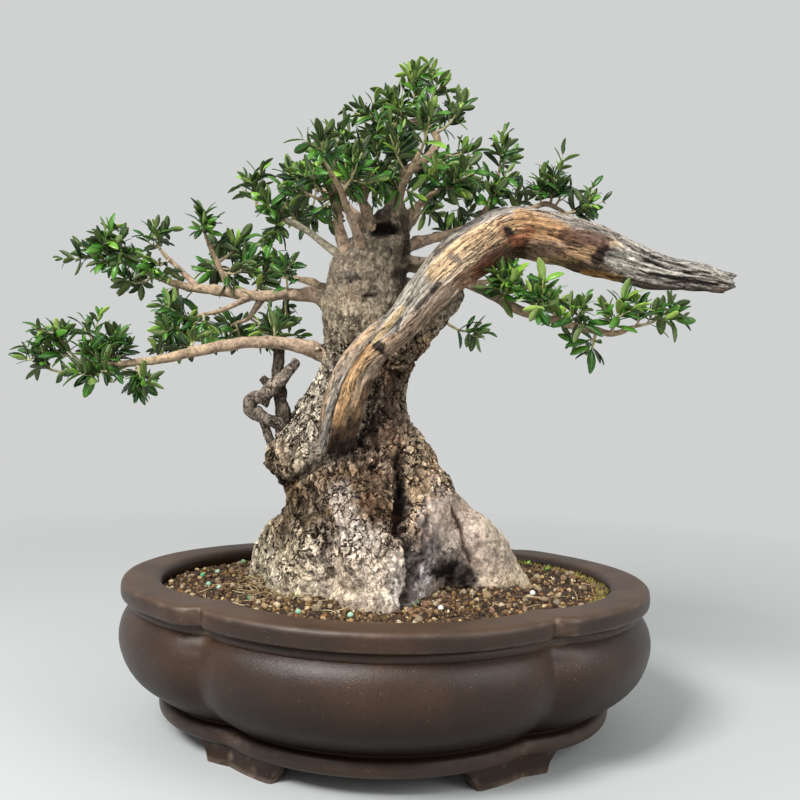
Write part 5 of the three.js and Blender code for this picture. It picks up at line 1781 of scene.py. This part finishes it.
# Bigger things that lie on the soil: fertiliser prills by place, pebbles, straw and moss.
litter = {
    "mintSpots": [
        (-140, 33), (-148, 16), (-135, -16), (-123, -32), (-129, 79), (-93, -67), (-53, -104), (-18, -112),
        (74, 112),
    ],
    "mintTones": ["#86b796", "#5aa36c", "#9fc4ab"],
    "whiteSpots": [(110, -32), (41, -86)],
    "whiteTones": ["#e6e4dc"],
    "prill": 2.1,
    "pebbles": 420,
    "pebbleTones": ["#b3966c", "#8f6c48", "#c6ab86", "#a67c5a", "#d6c19b", "#76583c", "#c9b08c"],
    "straws": 130,
    "rootStraws": 80,  # of them, those that lie about the left roots
    "strawTones": ["#a8946c", "#8a7049", "#bba983", "#6f5a3c"],
    "blades": 900,
    "bladeTone": "#8d7f45",
    "weeds": [(-96, 27), (-129, 76), (132, 55), (118, 84), (-60, -72), (24, -78)],
    "seed": 78,
    "weedSeed": 79,
}


def layPrills(random, ball, faces):
    bits = []
    for kind in ("mint", "white"):
        for x, y in litter[kind + "Spots"]:
            bit = ball * litter["prill"] + onSoil(x, y, 1.6)
            bits.append((bit, faces, anyTone(random, litter[kind + "Tones"])))
    return bits


def layPebble(random, ball, faces):
    x, y, _ = randomSpot(random, 3)
    away = offTrunk(onSoil(x, y, 0))
    if away < 0 or (away > 12 and random.uniform() < 0.6):
        return None
    size = random.uniform(1.3, 2.1) if random.uniform() < 0.7 else random.uniform(2.1, 3.1)
    stretch = random.uniform(0.7, 1.2, 3) * size
    turn = randomTurn(random)
    bit = ball * random.uniform(0.94, 1.06, (len(ball), 1))
    for side in unit(random.normal(size=(6, 3))):  # broken flat on six sides
        bit = bit - np.maximum(bit @ side - random.uniform(0.45, 0.75), 0)[:, None] * side
    bit = (bit * stretch * 1.25) @ turn.T
    colour = anyTone(random, litter["pebbleTones"]) * random.uniform(0.32, 0.72)
    return bit + onSoil(x, y, size * 0.45), faces, colour


def layStraw(random, laid):
    x, y, _ = randomSpot(random, 6)
    byRoots = laid < litter["rootStraws"]
    if byRoots:
        x, y = random.uniform(-112, -30), random.uniform(-82, 44)
    away = offTrunk(onSoil(x, y, 0))
    if away < 0 or (byRoots and away > 26):
        return None
    middle = onSoil(x, y, random.uniform(1.0, 3.2))
    heading = random.uniform(0, math.pi)
    half = np.array([math.cos(heading), math.sin(heading), random.normal() * 0.18])
    half = half * random.uniform(4, 10)
    route = [middle - half, middle + random.normal(size=3) * [1, 1, 0.5], middle + half]
    skin, faces = skinRings(ringsAlong(route, [0.3, 0.42, 0.25], 3.5, 4)[0])
    return skin, faces, anyTone(random, litter["strawTones"])


def layBlade(random):  # of moss, by the pot's wall at the right
    x, y, fromEdge = randomSpot(random, 0.5)
    if fromEdge > soil["mossReach"] or x < 40 or y < -60:
        return None
    foot, height = onSoil(x, y, -0.3), random.uniform(1.6, 4.2)
    spokes = np.array([[math.cos(turn), math.sin(turn), 0] for turn in (0, 2.1, 4.2)]) * 0.34
    tip = np.append(random.normal(size=2) * 0.9, height)
    colour = tone(litter["bladeTone"]) * random.uniform(0.6, 1.5)
    return np.vstack([spokes, tip]) + foot, [(0, 1, 3), (1, 2, 3), (2, 0, 3), (2, 1, 0)], colour


def modelLitter(random):
    ball, faces = ballShape(2)
    bits = layPrills(random, ball, faces)
    bits += gather(litter["pebbles"], lambda laid: layPebble(random, ball, faces))
    bits += gather(litter["straws"], lambda laid: layStraw(random, laid))
    bits += gather(litter["blades"], lambda laid: layBlade(random))
    return joinBits("litter", bits, prillCoat)


def modelWeeds(random):
    leaves = []
    for x, y in litter["weeds"]:
        for _ in range(4):
            aim = unit([random.normal() * 0.6, random.normal() * 0.6, 1])
            across = unit(np.cross(aim, random.normal(size=3)))
            root = onSoil(x, y, 0) + random.normal(size=3) * [0.6, 0.6, 0.1]
            leaves.append((root, aim, across, random.uniform(0.22, 0.36), 0.4))
    return leafPiece("soilWeeds", leaves, random, 0.2, [leafTop, leafUnder])


soilPieces = [modelBed(), scatterGrains(np.random.default_rng(soil["seed"]))]
keep(joinPieces("pottingSoil", soilPieces), "soil", "soil")
keep(modelLitter(np.random.default_rng(litter["seed"])), "soil")
keep(modelWeeds(np.random.default_rng(litter["weedSeed"])), "leaf")
print("soil ready")

# Floor, light and camera.

stage = {
    "floorSize": 60.0,
    "floorTone": "#b4b7b6",
    "worldTone": "#ebedec",
    "worldStrength": 0.76,
    # How far out the floor starts and ends turning into the room, as shares of fadeReach in metres.
    "fadeReach": 4.0,
    "fade": (0.09, 0.32),
    # Place, size and power of each light, all aimed at one point in the trunk.
    "boxes": {"keyBox": ((-0.8, -1.15, 1.5), 0.6, 52), "fillBox": ((1.3, -0.9, 0.9), 0.8, 11)},
    "aim": (0, 0, 0.2),
}


def layFloor():
    # Far out the floor turns into the tone of the room, so that no horizon shows.
    floor = added(bpy.ops.mesh.primitive_plane_add, size=stage["floorSize"], location=(0, 0, 0))
    floor.name = "floor"
    material, tree = newMaterial("paleFloor")
    finished(material, stage["floorTone"], 0.9, 0.1)
    glow = {"Color": stage["worldTone"], "Strength": stage["worldStrength"]}
    room = grow(tree, "Emission", glow).outputs[0]
    away = grow(tree, "VectorMath", {0: objectPlace(tree)}, operation="LENGTH").outputs["Value"]
    near, far = stage["fade"]
    share = ramp(tree, maths(tree, "DIVIDE", away, stage["fadeReach"]), (near, 0.0), (far, 1.0))
    shader = tree.nodes["Principled BSDF"].outputs[0]
    blend = grow(tree, "MixShader", {0: share, 1: shader, 2: room}).outputs[0]
    tree.links.new(blend, tree.nodes["Material Output"].inputs["Surface"])
    floor.data.materials.append(material)


def softBox(name, place, size, power):
    light = bpy.data.lights.new(name, "AREA")
    light.shape = "SQUARE"
    light.size = size
    light.energy = power
    lamp = bpy.data.objects.new(name, light)
    bpy.context.collection.objects.link(lamp)
    lamp.location = place
    lamp.rotation_euler = (Vector(stage["aim"]) - lamp.location).to_track_quat("-Z", "Y").to_euler()


layFloor()
world = bpy.data.worlds.new("paleRoom")
world.use_nodes = True
background = world.node_tree.nodes["Background"]
feed(world.node_tree, background.inputs["Color"], stage["worldTone"])
feed(world.node_tree, background.inputs["Strength"], stage["worldStrength"])
bpy.context.scene.world = world
for name, (place, size, power) in stage["boxes"].items():
    softBox(name, place, size, power)
bpy.context.scene.view_settings.view_transform = "Standard"

view = {
    "place": (25.7, -655.2, 248.1),
    "ahead": (-0.0272, 0.9996, 0.0),
    "roll": 1.30,
    "lens": 37.8,
    "sensor": 36,
}
cameraData = bpy.data.cameras.new("camera")
cameraData.lens = view["lens"]
cameraData.sensor_width = view["sensor"]
camera = bpy.data.objects.new("camera", cameraData)
bpy.context.collection.objects.link(camera)
camera.location = toScene(view["place"])
camera.rotation_mode = "QUATERNION"
levelTurn = Vector(view["ahead"]).to_track_quat("-Z", "Y")
camera.rotation_quaternion = levelTurn @ Quaternion((0, 0, 1), math.radians(view["roll"]))
bpy.context.scene.camera = camera

print("scene ready")
